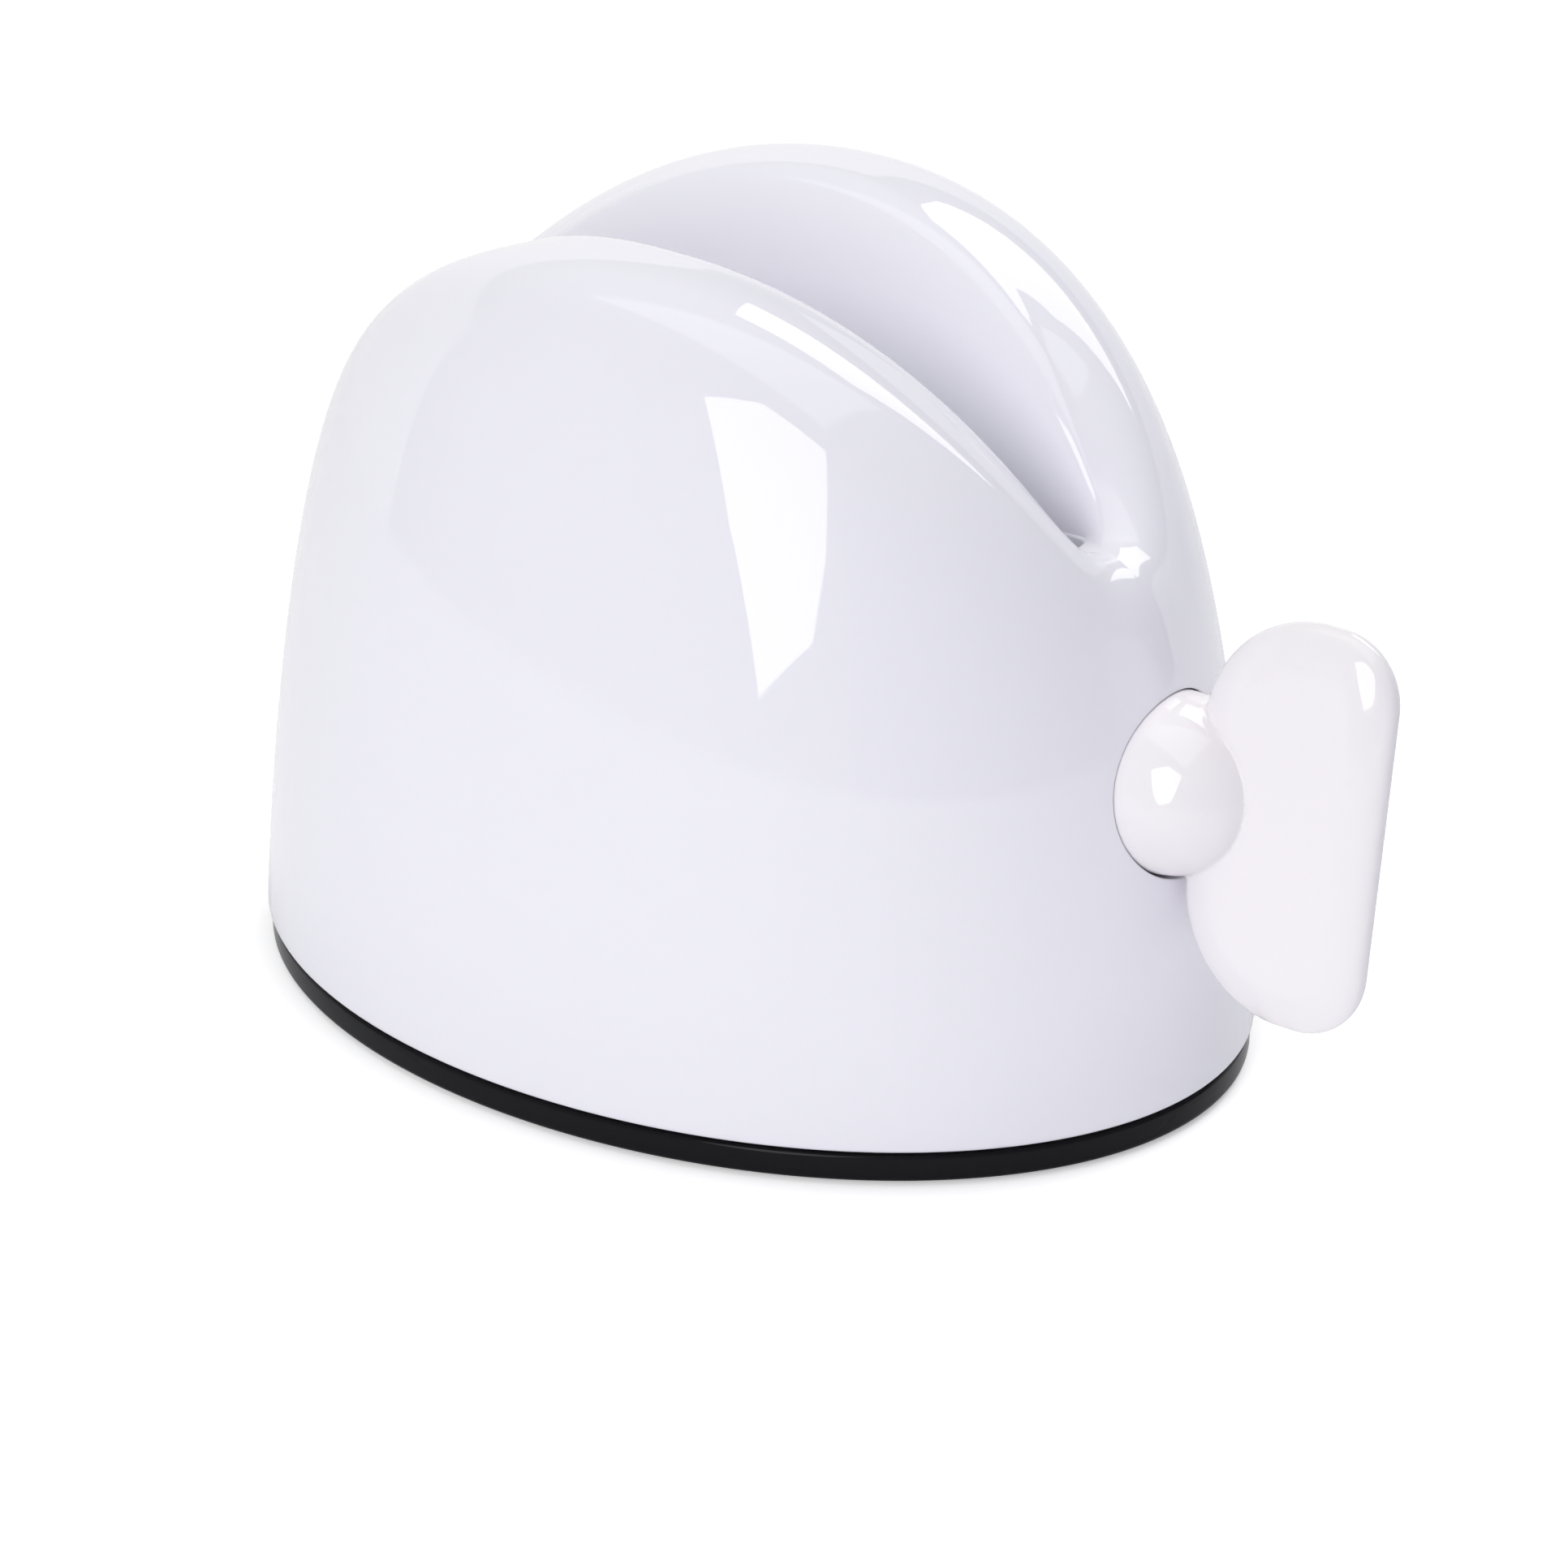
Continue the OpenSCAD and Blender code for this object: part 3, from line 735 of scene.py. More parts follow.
@dataclass
class Shell:
    """The white shell: a closed wall whose skins follow one rule, with two bearings in it.

    The columns run round the shell and the rows from its foot over the crest to the slot.
    The patch is the block of the grid that closes in on a bearing, and the crowds are the
    powers or shares that draw the grid together where the skin turns quickest.
    """

    rule: SkinRule = field(default_factory=SkinRule)
    bearings: Bearings = field(default_factory=Bearings)
    columns: int = 320
    flank_rows: int = 46
    funnel_rows: int = 30
    cavity_rows: int = 24
    cavity_funnel_rows: int = 10
    column_crowd: float = 0.25
    flank_crowd: float = 1.6
    funnel_crowd: float = 1.4
    patch_rings: int = 5
    patch_margin: float = 1.7
    roll_shares: tuple[float, ...] = (0.17, 0.33, 0.5, 0.67, 0.83, 1.0)
    solve_rounds: int = 12
    solve_step: float = 1e-5
    solve_limits: tuple[float, float] = (0.02, 0.98)

    def turns(self) -> np.ndarray:
        """Turns of the columns, crowded towards the two ends."""
        even = round_angles(self.columns)
        return even - self.column_crowd * np.sin(2 * even)

    def flank_steps(self, rows: int) -> np.ndarray:
        """Rises up a flank that crowd towards the crest, where the skin turns quickest."""
        return 1 - (1 - np.arange(rows + 1) / rows) ** self.flank_crowd

    def funnel_steps(self, rows: int) -> np.ndarray:
        """Rises down a funnel that crowd towards the crest."""
        return 1 + (np.arange(1, rows + 1) / rows) ** self.funnel_crowd

    def skin_ring(self, net: Net, turn: np.ndarray, rise: np.ndarray, inner: float) -> np.ndarray:
        """Adds a ring of points that the rule places.

        Args:
            net: what it is added to.
            turn: each point's turn.
            rise: each point's rise.
            inner: which skin.

        Returns:
            The ring's indices.
        """
        rise = np.broadcast_to(rise, turn.shape).astype(float)
        side = np.full(turn.shape, inner)
        points = np.column_stack(self.rule.point(turn, rise, side))
        marks = np.column_stack([turn, rise, side, np.zeros(turn.shape)])
        return net.ring(points, marks)

    def solve(self, y: np.ndarray, z: np.ndarray, turn: np.ndarray, rise: np.ndarray,
              inner: float) -> tuple[np.ndarray, np.ndarray]:
        """Finds the points of a skin that have given y and z.

        Args:
            y: where each point is to be across.
            z: how high each point is to be.
            turn: a first guess of each turn.
            rise: a first guess of each rise.
            inner: which skin.

        Returns:
            The turns and the rises.
        """
        step = self.solve_step
        for _ in range(self.solve_rounds):
            _, y0, z0 = self.rule.point(turn, rise, inner)
            _, y1, z1 = self.rule.point(turn + step, rise, inner)
            _, y2, z2 = self.rule.point(turn, rise + step, inner)
            a, b, c, d = (y1 - y0) / step, (y2 - y0) / step, (z1 - z0) / step, (z2 - z0) / step
            det = a * d - b * c
            ey, ez = y - y0, z - z0
            turn = turn + (d * ey - b * ez) / det
            rise = np.clip(rise + (a * ez - c * ey) / det, *self.solve_limits)
        return turn, rise

    def block(self, turns: np.ndarray, rises: np.ndarray, end_turn: float, radius: float,
              inner: float) -> tuple[list[int], list[int]]:
        """Columns and rows of the grid that hold a round hole in an end wall.

        Args:
            turns: the columns' turns.
            rises: the flank rows' rises.
            end_turn: the turn at the middle of the hole.
            radius: the hole's radius.
            inner: which skin.

        Returns:
            The columns in order round the shell, and the rows from low to high.
        """
        reach = radius + self.patch_margin
        z = self.rule.point(np.full(rises.shape, end_turn), rises, inner)[2]
        axis_z = self.bearings.axis_z
        rows = [max(np.nonzero(z < axis_z - reach)[0]), min(np.nonzero(z > axis_z + reach)[0])]
        middle = np.interp(axis_z + radius, z, rises)
        y = self.rule.point(turns, np.full(turns.shape, middle), inner)[1]
        start = int(round(end_turn / FULL_TURN * self.columns))
        k = 1
        while abs(y[(start + k) % self.columns]) < reach:
            k += 1
        columns = [(start + i) % self.columns for i in range(-k, k + 1)]
        return columns, list(range(rows[0], rows[1] + 1))

    def collar(self, net: Net, rings: list[np.ndarray], columns: list[int], rows: list[int],
               radius: float, inner: float) -> tuple[np.ndarray, np.ndarray]:
        """Fills a block of the grid with rings that close in on a round hole.

        Args:
            net: what it is added to.
            rings: the grid's rings, by row.
            columns: the block's columns.
            rows: the block's rows.
            radius: the radius that the last ring has.
            inner: which skin.

        Returns:
            The last ring and the angles of its points about the axis.
        """
        low, high = rows[0], rows[-1]
        edge = [(low, c) for c in columns]
        edge += [(r, columns[-1]) for r in rows[1:]]
        edge += [(high, c) for c in reversed(columns[:-1])]
        edge += [(r, columns[0]) for r in reversed(rows[1:-1])]
        ids = np.array([rings[r][c] for r, c in edge])
        marks = np.vstack(net.marks)[ids]
        points = np.vstack(net.points)[ids]
        axis_z = self.bearings.axis_z
        angles = np.arctan2(points[:, 2] - axis_z, points[:, 1])
        circle = np.column_stack([radius * np.cos(angles), axis_z + radius * np.sin(angles)])
        last, turn, rise = ids, marks[:, 0].copy(), marks[:, 1]
        end_turn = marks[len(columns) // 2, 0]
        turn = end_turn + (turn - end_turn + math.pi) % FULL_TURN - math.pi
        for k in range(1, self.patch_rings + 1):
            part = k / self.patch_rings
            goal = points[:, 1:] * (1 - part) + circle * part
            turn, rise = self.solve(goal[:, 0], goal[:, 1], turn, rise, inner)
            ring = self.skin_ring(net, turn, rise, inner)
            net.band(last, ring)
            last = ring
        return last, angles

    def tube_ring(self, net: Net, x: float, radius: float, angles: np.ndarray) -> np.ndarray:
        """Adds a ring about the winding axis."""
        return net.ring(about_axis(x, radius, angles, self.bearings.axis_z))

    def key_bearing(self, net: Net, outer: tuple[np.ndarray, np.ndarray],
                    inner: tuple[np.ndarray, np.ndarray]) -> None:
        """Rolls the outer skin into the key's bore and brings the sleeve back to the cavity.

        Args:
            net: what it is added to.
            outer: the outer collar's last ring and its angles.
            inner: the cavity collar's last ring and its angles.
        """
        b = self.bearings
        ring, angles = outer
        start = np.vstack(net.points)[ring]
        marks = np.vstack(net.marks)[ring]
        goal_y, goal_z = b.hole_r * np.cos(angles), b.axis_z + b.hole_r * np.sin(angles)
        turn, rise = self.solve(goal_y, goal_z, marks[:, 0], marks[:, 1], 0.0)
        corner = np.column_stack(self.rule.point(turn, rise, np.zeros(turn.shape)))
        end = corner - np.array([b.hole_round, 0, 0])
        rolled = [ring]
        for s in self.roll_shares:
            rolled.append(net.ring((1 - s) ** 2 * start + 2 * s * (1 - s) * corner + s * s * end))
        bore = self.tube_ring(net, b.sleeve_x, b.hole_r, angles)
        net.bands([*rolled, bore])
        ring2, angles2 = inner
        sleeve = self.tube_ring(net, b.sleeve_x, b.sleeve_r, angles2)
        net.zip(bore, angles, sleeve, angles2)
        net.band(sleeve, ring2)

    def far_bearing(self, net: Net, inner: tuple[np.ndarray, np.ndarray]) -> None:
        """Builds the blind bearing on the cavity's far end wall."""
        b = self.bearings
        ring, angles = inner
        rings = [ring, self.tube_ring(net, b.pivot_face_x, b.pivot_boss_r, angles),
                 self.tube_ring(net, b.pivot_face_x, b.pivot_bore_r, angles),
                 self.tube_ring(net, b.pivot_face_x - b.pivot_deep, b.pivot_bore_r, angles)]
        net.bands(rings)
        net.cap(rings[-1], (b.pivot_face_x - b.pivot_deep, 0, b.axis_z))

    def wall_net(self) -> Net:
        """The net of the whole wall, closed, with its bearings."""
        rule, net, turns = self.rule, Net(), self.turns()
        flank, funnel = self.flank_steps(self.flank_rows), self.funnel_steps(self.funnel_rows)
        cave = self.flank_steps(self.cavity_rows)
        cave_top = self.funnel_steps(self.cavity_funnel_rows)

        def foot(inset: float, z: float) -> np.ndarray:
            """Adds a level ring at the foot."""
            x, y = rule.oval(turns, inset)
            return net.ring(np.column_stack([x, y, np.full(turns.shape, z)]))

        def throat(grow: float, drop: float) -> np.ndarray:
            """Adds a ring of the rounding between the slot's edge and its throat."""
            x, y, z = rule.slot(turns, 0.0, grow)
            near_end = np.abs(rule.share(turns)) ** rule.slot_rise_power
            return net.ring(np.column_stack([x, y, z - drop * near_end]))

        r, k = rule.foot_round, rule.slot_round
        rings = [foot(r * (1 - math.sin(a)), rule.foot_z + r * (1 - math.cos(a)))
                 for a in np.radians([0, 18, 36, 54, 72])]
        first_flank = len(rings)
        rings += [self.skin_ring(net, turns, t, 0.0) for t in flank]
        rings += [self.skin_ring(net, turns, t, 0.0) for t in funnel]
        rings += [throat(k * (1 - math.sin(a)), k * (1 - math.cos(a)))
                  for a in np.radians([22.5, 45, 67.5, 90])]
        top = np.vstack(net.points)[rings[-1]]
        bottom_z = rule.lip_end() - rule.lip_drop - rule.throat
        for part in (0.12, 0.5, 1.0):
            step = top.copy()
            step[:, 2] += (bottom_z - top[:, 2]) * part
            rings.append(net.ring(step))
        rings += [self.skin_ring(net, turns, t, 1.0) for t in reversed(cave_top)]
        first_cave = len(rings)
        rings += [self.skin_ring(net, turns, t, 1.0) for t in reversed(cave)]
        rings.append(foot(rule.wall, rule.foot_z))

        b = self.bearings
        cave_rings = list(reversed(rings[first_cave:first_cave + len(cave)]))
        blocks = []
        for source, rises, end_turn, radius, side in (
                (rings[first_flank:first_flank + len(flank)], flank, 0.0,
                 b.hole_r + b.hole_round, 0.0),
                (cave_rings, cave, 0.0, b.sleeve_r, 1.0),
                (cave_rings, cave, math.pi, b.pivot_boss_r, 1.0)):
            columns, rows = self.block(turns, rises, end_turn, radius, side)
            collar = self.collar(net, source, columns, rows, radius, side)
            cells = {(min(source[r][0], source[r + 1][0]), c)
                     for r in rows[:-1] for c in columns[:-1]}
            blocks.append((collar, cells))
        gone = set().union(*(cells for _, cells in blocks))
        for low, high in zip(rings, rings[1:] + rings[:1]):
            start = min(low[0], high[0])
            net.band(low, high, [c for c in range(self.columns) if (start, c) in gone])
        self.key_bearing(net, blocks[0][0], blocks[1][0])
        self.far_bearing(net, blocks[2][0])
        return net

    def placing_tree(self, material: bpy.types.Material) -> tuple[bpy.types.NodeTree, dict]:
        """Builds the tree that puts each marked point where the rule says.

        Args:
            material: the shell's finish.

        Returns:
            The tree, and the identifier of the input for each of the rule's sizes.
        """
        tree = bpy.data.node_groups.new("shell_skin", "GeometryNodeTree")
        tree.interface.new_socket("Net", in_out="INPUT", socket_type="NodeSocketGeometry")
        names = {}
        for size in fields(SkinRule):
            item = tree.interface.new_socket(size.name, in_out="INPUT",
                                             socket_type="NodeSocketFloat")
            item.default_value = getattr(self.rule, size.name)
            names[size.name] = item.identifier
        tree.interface.new_socket("Shell", in_out="OUTPUT", socket_type="NodeSocketGeometry")
        g = Graph(tree)
        source = g.node("NodeGroupInput")
        rule = replace(self.rule, **{size.name: Val(g, source.outputs[size.name])
                                     for size in fields(SkinRule)})
        turn, rise, inner, fixed = (
            g.out("GeometryNodeInputNamedAttribute", {"data_type": "FLOAT"}, {"Name": key})
            for key in MARKS)
        x, y, z = rule.point(turn, rise, inner)
        place = g.out("ShaderNodeCombineXYZ", {}, {0: x * MM, 1: y * MM, 2: z * MM})
        free = g.out("FunctionNodeCompare", {"data_type": "FLOAT", "operation": "LESS_THAN"},
                     {0: fixed, 1: 0.5})
        placed = g.node("GeometryNodeSetPosition", {}, {
            "Geometry": source.outputs["Net"], "Selection": free, "Position": place})
        g.node("NodeGroupOutput", {}, {"Shell": g.dressed(placed.outputs[0], material)})
        return tree, names

    def build(self, material: bpy.types.Material) -> None:
        """Builds the shell's wall as one piece.

        Args:
            material: its finish.
        """
        tree, names = self.placing_tree(material)
        net = self.wall_net().mesh("shell_net", marked=True)
        mesh = through(tree, net, {key: float(getattr(self.rule, size))
                                   for size, key in names.items()}, "shell")
        for key in MARKS:
            mesh.attributes.remove(mesh.attributes[key])
        present("shell", mesh, material, Body.HOUSING, ["body_shell"])


# ---- what stands at the four screws


@dataclass
class ScrewPlaces:
    """The four places round the foot where a screw, its cup and its post stand."""

    shell_length: float = 78.0
    shell_width: float = 57.6
    inset: float = 6.65
    angle: float = 42.0

    def copies(self, one: bpy.types.Mesh, name: str,
               material: bpy.types.Material) -> bpy.types.Mesh:
        """Repeats a mesh at the four places, turned to face outwards at each.

        Args:
            one: the mesh, as it stands at the origin with outwards along +X.
            name: the new mesh's name.
            material: its finish.

        Returns:
            The four copies as one mesh.
        """
        tree = bpy.data.node_groups.new("at_screws", "GeometryNodeTree")
        face = tree.interface
        face.new_socket("One", in_out="INPUT", socket_type="NodeSocketGeometry")
        a = math.radians(self.angle)
        sizes = {"Along": (self.shell_length / 2 - self.inset) * math.cos(a) * MM,
                 "Across": (self.shell_width / 2 - self.inset) * math.sin(a) * MM,
                 "Outwards": math.atan2(math.sin(a) * self.shell_length,
                                        math.cos(a) * self.shell_width)}
        keys = {key: face.new_socket(key, in_out="INPUT",
                                     socket_type="NodeSocketFloat").identifier
                for key in sizes}
        face.new_socket("Four", in_out="OUTPUT", socket_type="NodeSocketGeometry")
        g = Graph(tree)
        source = g.node("NodeGroupInput")
        along, across, outwards = (Val(g, source.outputs[key]) for key in sizes)
        index = g.out("GeometryNodeInputIndex")
        side_x = 1 - 2 * g.maths("FLOOR", index / 2)
        side_y = 1 - 2 * g.maths("MODULO", index, 2)
        place = g.out("ShaderNodeCombineXYZ", {}, {0: along * side_x, 1: across * side_y})
        points = g.node("GeometryNodePoints", {}, {"Count": 4, "Position": place})
        turn = outwards * side_x * side_y + (1 - side_x) * QUARTER
        spin = g.out("ShaderNodeCombineXYZ", {}, {2: turn})
        put = g.node("GeometryNodeInstanceOnPoints", {}, {
            "Points": points.outputs[0], "Instance": source.outputs["One"], "Rotation": spin})
        g.node("NodeGroupOutput", {}, {"Four": g.dressed(put.outputs[0], material)})
        return through(tree, one, {keys[key]: value for key, value in sizes.items()}, name)


@dataclass
class Posts:
    """The shell's screw posts, each with a web to the wall."""

    places: ScrewPlaces = field(default_factory=ScrewPlaces)
    radius: float = 2.8
    bore_r: float = 1.35
    foot_z: float = 4.3
    height: float = 8.6
    hole_top: float = 11.4
    web_t: float = 1.6
    web_lift: float = 0.6
    web_reach: float = 5.4
    web_root: float = 0.4
    edge: float = 0.25
    steps: int = 48

    def build(self, material: bpy.types.Material) -> None:
        """Builds the four posts as one piece.

        Args:
            material: the shell's finish.
        """
        top, e = self.foot_z + self.height, self.edge
        profile = [(self.bore_r, self.hole_top), (self.bore_r, self.foot_z + e),
                   (self.bore_r + e, self.foot_z), (self.radius - e, self.foot_z),
                   (self.radius, self.foot_z + e), (self.radius, top - e),
                   (self.radius - e, top)]
        post = swept(profile, 0, 0, self.steps, "post")
        net = Net()
        low = self.foot_z + self.web_lift
        half = self.web_t / 2
        rings = [net.ring(np.array([[x, -half, low], [x, half, low], [x, half, top - e],
                                    [x, -half, top - e]]))
                 for x in (self.bore_r + self.web_root, self.web_reach)]
        net.band(*rings)
        net.faces += [tuple(rings[0]), tuple(rings[1])]
        mesh = combine(post, net.mesh("web"), Cut.JOIN)
        mesh = self.places.copies(mesh, "screw_posts", material)
        present("screw_posts", mesh, material, Body.HOUSING)


# ---- the base


@dataclass
class Base:
    """Black base plate with a centring rim and screw cups, and the pad under it.

    The plate's section is given by distances in from the shell's foot. hold and flat are the
    short flat runs that keep the shading of the level faces beside the rounded edges.
    """

    places: ScrewPlaces = field(default_factory=ScrewPlaces)
    length: float = 78.0
    width: float = 57.6
    steps: int = 288
    bottom: float = 0.3
    top: float = 2.4
    inset: float = 0.3
    low_round: float = 0.5
    top_round: float = 0.3
    recess_z: float = 1.0
    pad_border: float = 2.4
    rim_inset: float = 2.65
    rim_t: float = 1.5
    rim_top: float = 4.1
    small_round: float = 0.2
    cup_r: float = 4.0
    cup_top: float = 4.3
    seat_z: float = 2.9
    head_r: float = 2.6
    hole_r: float = 1.4
    pad_gap: float = 0.15
    pad_round: float = 0.25
    flat_edge: float = 0.5
    cup_root: float = 0.5
    cup_steps: int = 64
    bore_steps: int = 48
    past: float = 1.0
    hold: float = 0.2
    flat: float = 2.0

    def round_foot(self, profile: Profile, name: str) -> bpy.types.Mesh:
        """Sweeps a profile of (inset, z) round the foot's oval into a closed mesh."""
        return swept([(-inset, z) for inset, z in profile], self.length / 2, self.width / 2,
                     self.steps, name)

    def plate_profile(self) -> list[tuple[float, float]]:
        """The plate's section, from the middle of its underside to the middle of its top."""
        s, i = self.small_round, self.inset
        border = i + self.pad_border
        rim_in = self.rim_inset + self.rim_t
        return [(border + self.flat, self.recess_z), (border, self.recess_z),
                (border, self.bottom + s),
                *arc((border - s, self.bottom + s), (s, s), 0, -90, 3)[1:],
                (i + self.low_round + self.hold, self.bottom),
                *arc((i + self.low_round, self.bottom + self.low_round),
                     (self.low_round, self.low_round), -90, -180, 6),
                *arc((i + self.top_round, self.top - self.top_round),
                     (self.top_round, self.top_round), 180, 90, 5),
                (i + self.top_round + self.hold, self.top), (self.rim_inset, self.top),
                *arc((self.rim_inset + s, self.rim_top - s), (s, s), 180, 90, 3),
                *arc((rim_in - s, self.rim_top - s), (s, s), 90, 0, 3),
                (rim_in, self.top), (rim_in + self.flat, self.top)]

    def build(self, material: bpy.types.Material, pad_material: bpy.types.Material) -> None:
        """Builds the plate and the pad.

        Args:
            material: the plate's finish.
            pad_material: the pad's finish.
        """
        mesh = self.round_foot(self.plate_profile(), "base_plate_body")
        s = self.small_round
        cup = swept([(self.cup_r, self.recess_z + self.cup_root), (self.cup_r, self.cup_top - s),
                     (self.cup_r - s, self.cup_top)], 0, 0, self.cup_steps, "cup")
        mesh = combine(mesh, self.places.copies(cup, "cups", material), Cut.JOIN)
        bore = swept([(self.head_r, self.bottom - self.past), (self.head_r, self.seat_z),
                      (self.hole_r, self.seat_z), (self.hole_r, self.cup_top + self.past)],
                     0, 0, self.bore_steps, "bore")
        mesh = combine(mesh, self.places.copies(bore, "bores", material), Cut.REMOVE)
        present("base_plate_finished", mesh, material, Body.HOUSING, ["base_plate"])

        pad_in, r = self.inset + self.pad_border + self.pad_gap, self.pad_round
        pad = self.round_foot([(pad_in + r + self.flat_edge, 0.0),
                               *arc((pad_in + r, r), (r, r), -90, -180, 4),
                               (pad_in, self.recess_z)], "pad_body")
        present("grip_pad_finished", pad, pad_material, Body.HOUSING, ["grip_pad"])


# ---- the winder


@dataclass
class Key:
    """White winding key: a soft-edged wing, a bead that fills the hole, and its journal.

    The wing's edge is a part of an ellipse that reaches edge_reach into the wing and stops
    at edge_turn, which leaves a faint crease round the flat middle.
    """

    axis_z: float = 25.8
    tilt: float = 9.2
    wing_in_x: float = 38.26
    wing_out_x: float = 53.26
    wing_h: float = 28.8
    inner_r: float = 8.9
    outer_r: float = 4.9
    wing_drop: float = 0.3
    thickness: float = 3.6
    edge_flat: float = 0.05
    edge_reach: float = 2.8
    edge_turn: float = 62.0
    ring_step: float = 0.3
    bead_x: float = 35.96
    bead_r: float = 6.46
    bead_h: float = 7.6
    journal_r: float = 6.49
    journal_x: float = 28.68
    journal_end_x: float = 34.97
    socket_r: float = 3.75
    socket_deep: float = 6.05
    clip_groove: tuple[float, float, float] = (29.68, 30.66, 5.19)
    ring_groove: tuple[float, float, float] = (33.68, 34.67, 5.46)
    blend_reach: float = 0.55
    blend_rounds: int = 10
    seam_angle: float = 20.0
    seam_off: float = 0.12
    seam_lead: float = 0.3
    least: float = 0.02
    corner_steps: int = 36
    straight_steps: tuple[int, ...] = (6, 34, 6, 56)
    roll_steps: int = 17
    middle_band: float = 0.3
    dome_steps: int = 56
    dome_end: float = 89.0
    hub_steps: int = 192
    journal_edge: float = 0.25

    def outline(self, offset: float) -> np.ndarray:
        """The wing's outline in its own plane.

        Args:
            offset: how far it is moved inwards.

        Returns:
            Its points as (x, z), with z from the wing's middle.
        """
        corners = (("out", 1), ("in", 1), ("in", -1), ("out", -1))
        half_h = self.wing_h / 2 - offset
        x_in, x_out = self.wing_in_x + offset, self.wing_out_x - offset
        limit = (x_out - x_in) / 2 - self.least
        path = []
        for k, (side, up) in enumerate(corners):
            outside = side == "out"
            full = (self.outer_r if outside else self.inner_r) - offset
            r = max(min(full, half_h), self.least)
            r = min(r, limit) if outside else r
            cx = x_out - r if outside else min(x_in + r, x_out - self.least)
            path.append(arc((cx, up * (half_h - r)), (r, r), 90 * k, 90 * k + 90,
                            self.corner_steps))
        points = []
        for part, after, steps in zip(path, path[1:] + path[:1], self.straight_steps):
            points += part
            start, end = np.array(part[-1]), np.array(after[0])
            points += [tuple(start + (end - start) * s / steps) for s in range(1, steps)]
        return np.array(points)

    def wing(self) -> bpy.types.Mesh:
        """The wing as a closed mesh with a softly rolled edge, upright."""
        net = Net()
        stop = math.radians(self.edge_turn)
        reach = self.edge_reach / (1 - math.cos(stop))
        roll = (self.thickness / 2 - self.edge_flat) / math.sin(stop)
        section = [(reach * (1 - math.cos(a)), self.edge_flat + roll * math.sin(a))
                   for a in np.linspace(0, stop, self.roll_steps)]
        width = self.wing_out_x - self.wing_in_x
        flat = np.arange(self.edge_reach + self.ring_step, width / 2 - self.middle_band,
                         self.ring_step)
        section += [(d, self.thickness / 2) for d in flat]
        section = [(d, -y) for d, y in reversed(section)] + section
        rings = []
        for offset, y in section:
            xz = self.outline(offset)
            rings.append(net.ring(np.column_stack([xz[:, 0], np.full(len(xz), y),
                                                   self.axis_z - self.wing_drop + xz[:, 1]])))
        net.bands(rings)
        net.faces += [tuple(rings[0]), tuple(rings[-1])]
        mesh = net.mesh("wing")
        clean(mesh, WELD)
        return mesh

    def hub(self) -> bpy.types.Mesh:
        """The bead and the journal as one turned mesh."""
        dome = [(self.bead_x + self.bead_h * math.sin(a), self.bead_r * math.cos(a))
                for a in np.radians(np.linspace(0, self.dome_end, self.dome_steps))]
        e = self.journal_edge
        journal = [(self.journal_x + self.socket_deep, self.socket_r),
                   (self.journal_x + e, self.socket_r), (self.journal_x, self.socket_r + e),
                   (self.journal_x, self.journal_r - e), (self.journal_x + e, self.journal_r)]
        for start, end, floor in (self.clip_groove, self.ring_groove):
            journal += [(start, self.journal_r), (start, floor), (end, floor),
                        (end, self.journal_r)]
        journal += [(self.journal_end_x, self.journal_r), (self.journal_end_x, self.bead_r)]
        return lathe(journal + dome, self.hub_steps, self.axis_z).mesh("hub")

    def soften_joint(self, mesh: bpy.types.Mesh) -> None:
        """Rounds the crease where the bead runs into the wing.

        Args:
            mesh: the joined wing and hub, which is changed.
        """
        work = bmesh.new()
        work.from_mesh(mesh)
        seam, crease = [], math.radians(self.seam_angle)
        for edge in work.edges:
            if len(edge.link_faces) == 2 and edge.calc_face_angle(0) > crease:
                spot = (edge.verts[0].co + edge.verts[1].co) / 2 / MM
                radius = math.hypot(spot.y, spot.z - self.axis_z)
                out = (spot.x - self.bead_x) / self.bead_h
                off = abs(radius - self.bead_r * math.sqrt(max(0.0, 1 - out * out)))
                if spot.x > self.wing_in_x - self.seam_lead and off < self.seam_off:
                    seam += [edge.verts[0].co.copy(), edge.verts[1].co.copy()]
        if seam:
            from_seam = np.array(seam)
            near = [v for v in work.verts
                    if np.min(np.sum((from_seam - np.array(v.co)) ** 2, 1))
                    < (self.blend_reach * MM) ** 2]
            for _ in range(self.blend_rounds):
                bmesh.ops.smooth_vert(work, verts=near, factor=0.5,
                                      use_axis_x=True, use_axis_y=True, use_axis_z=True)
        LOG.info("key: %d points along the seam", len(seam))
        work.to_mesh(mesh)
        work.free()

    def build(self, material: bpy.types.Material) -> None:
        """Builds the key, turned to the angle that it rests at."""
        mesh = combine(self.wing(), self.hub(), Cut.JOIN)
        self.soften_joint(mesh)
        axis = Vector((0, 0, self.axis_z * MM))
        mesh.transform(Matrix.Translation(axis) @ Matrix.Rotation(-math.radians(self.tilt), 4, "X")
                       @ Matrix.Translation(-axis))
        present("key", mesh, material, Body.WINDER, ["winding_key"])


# ---- the studio


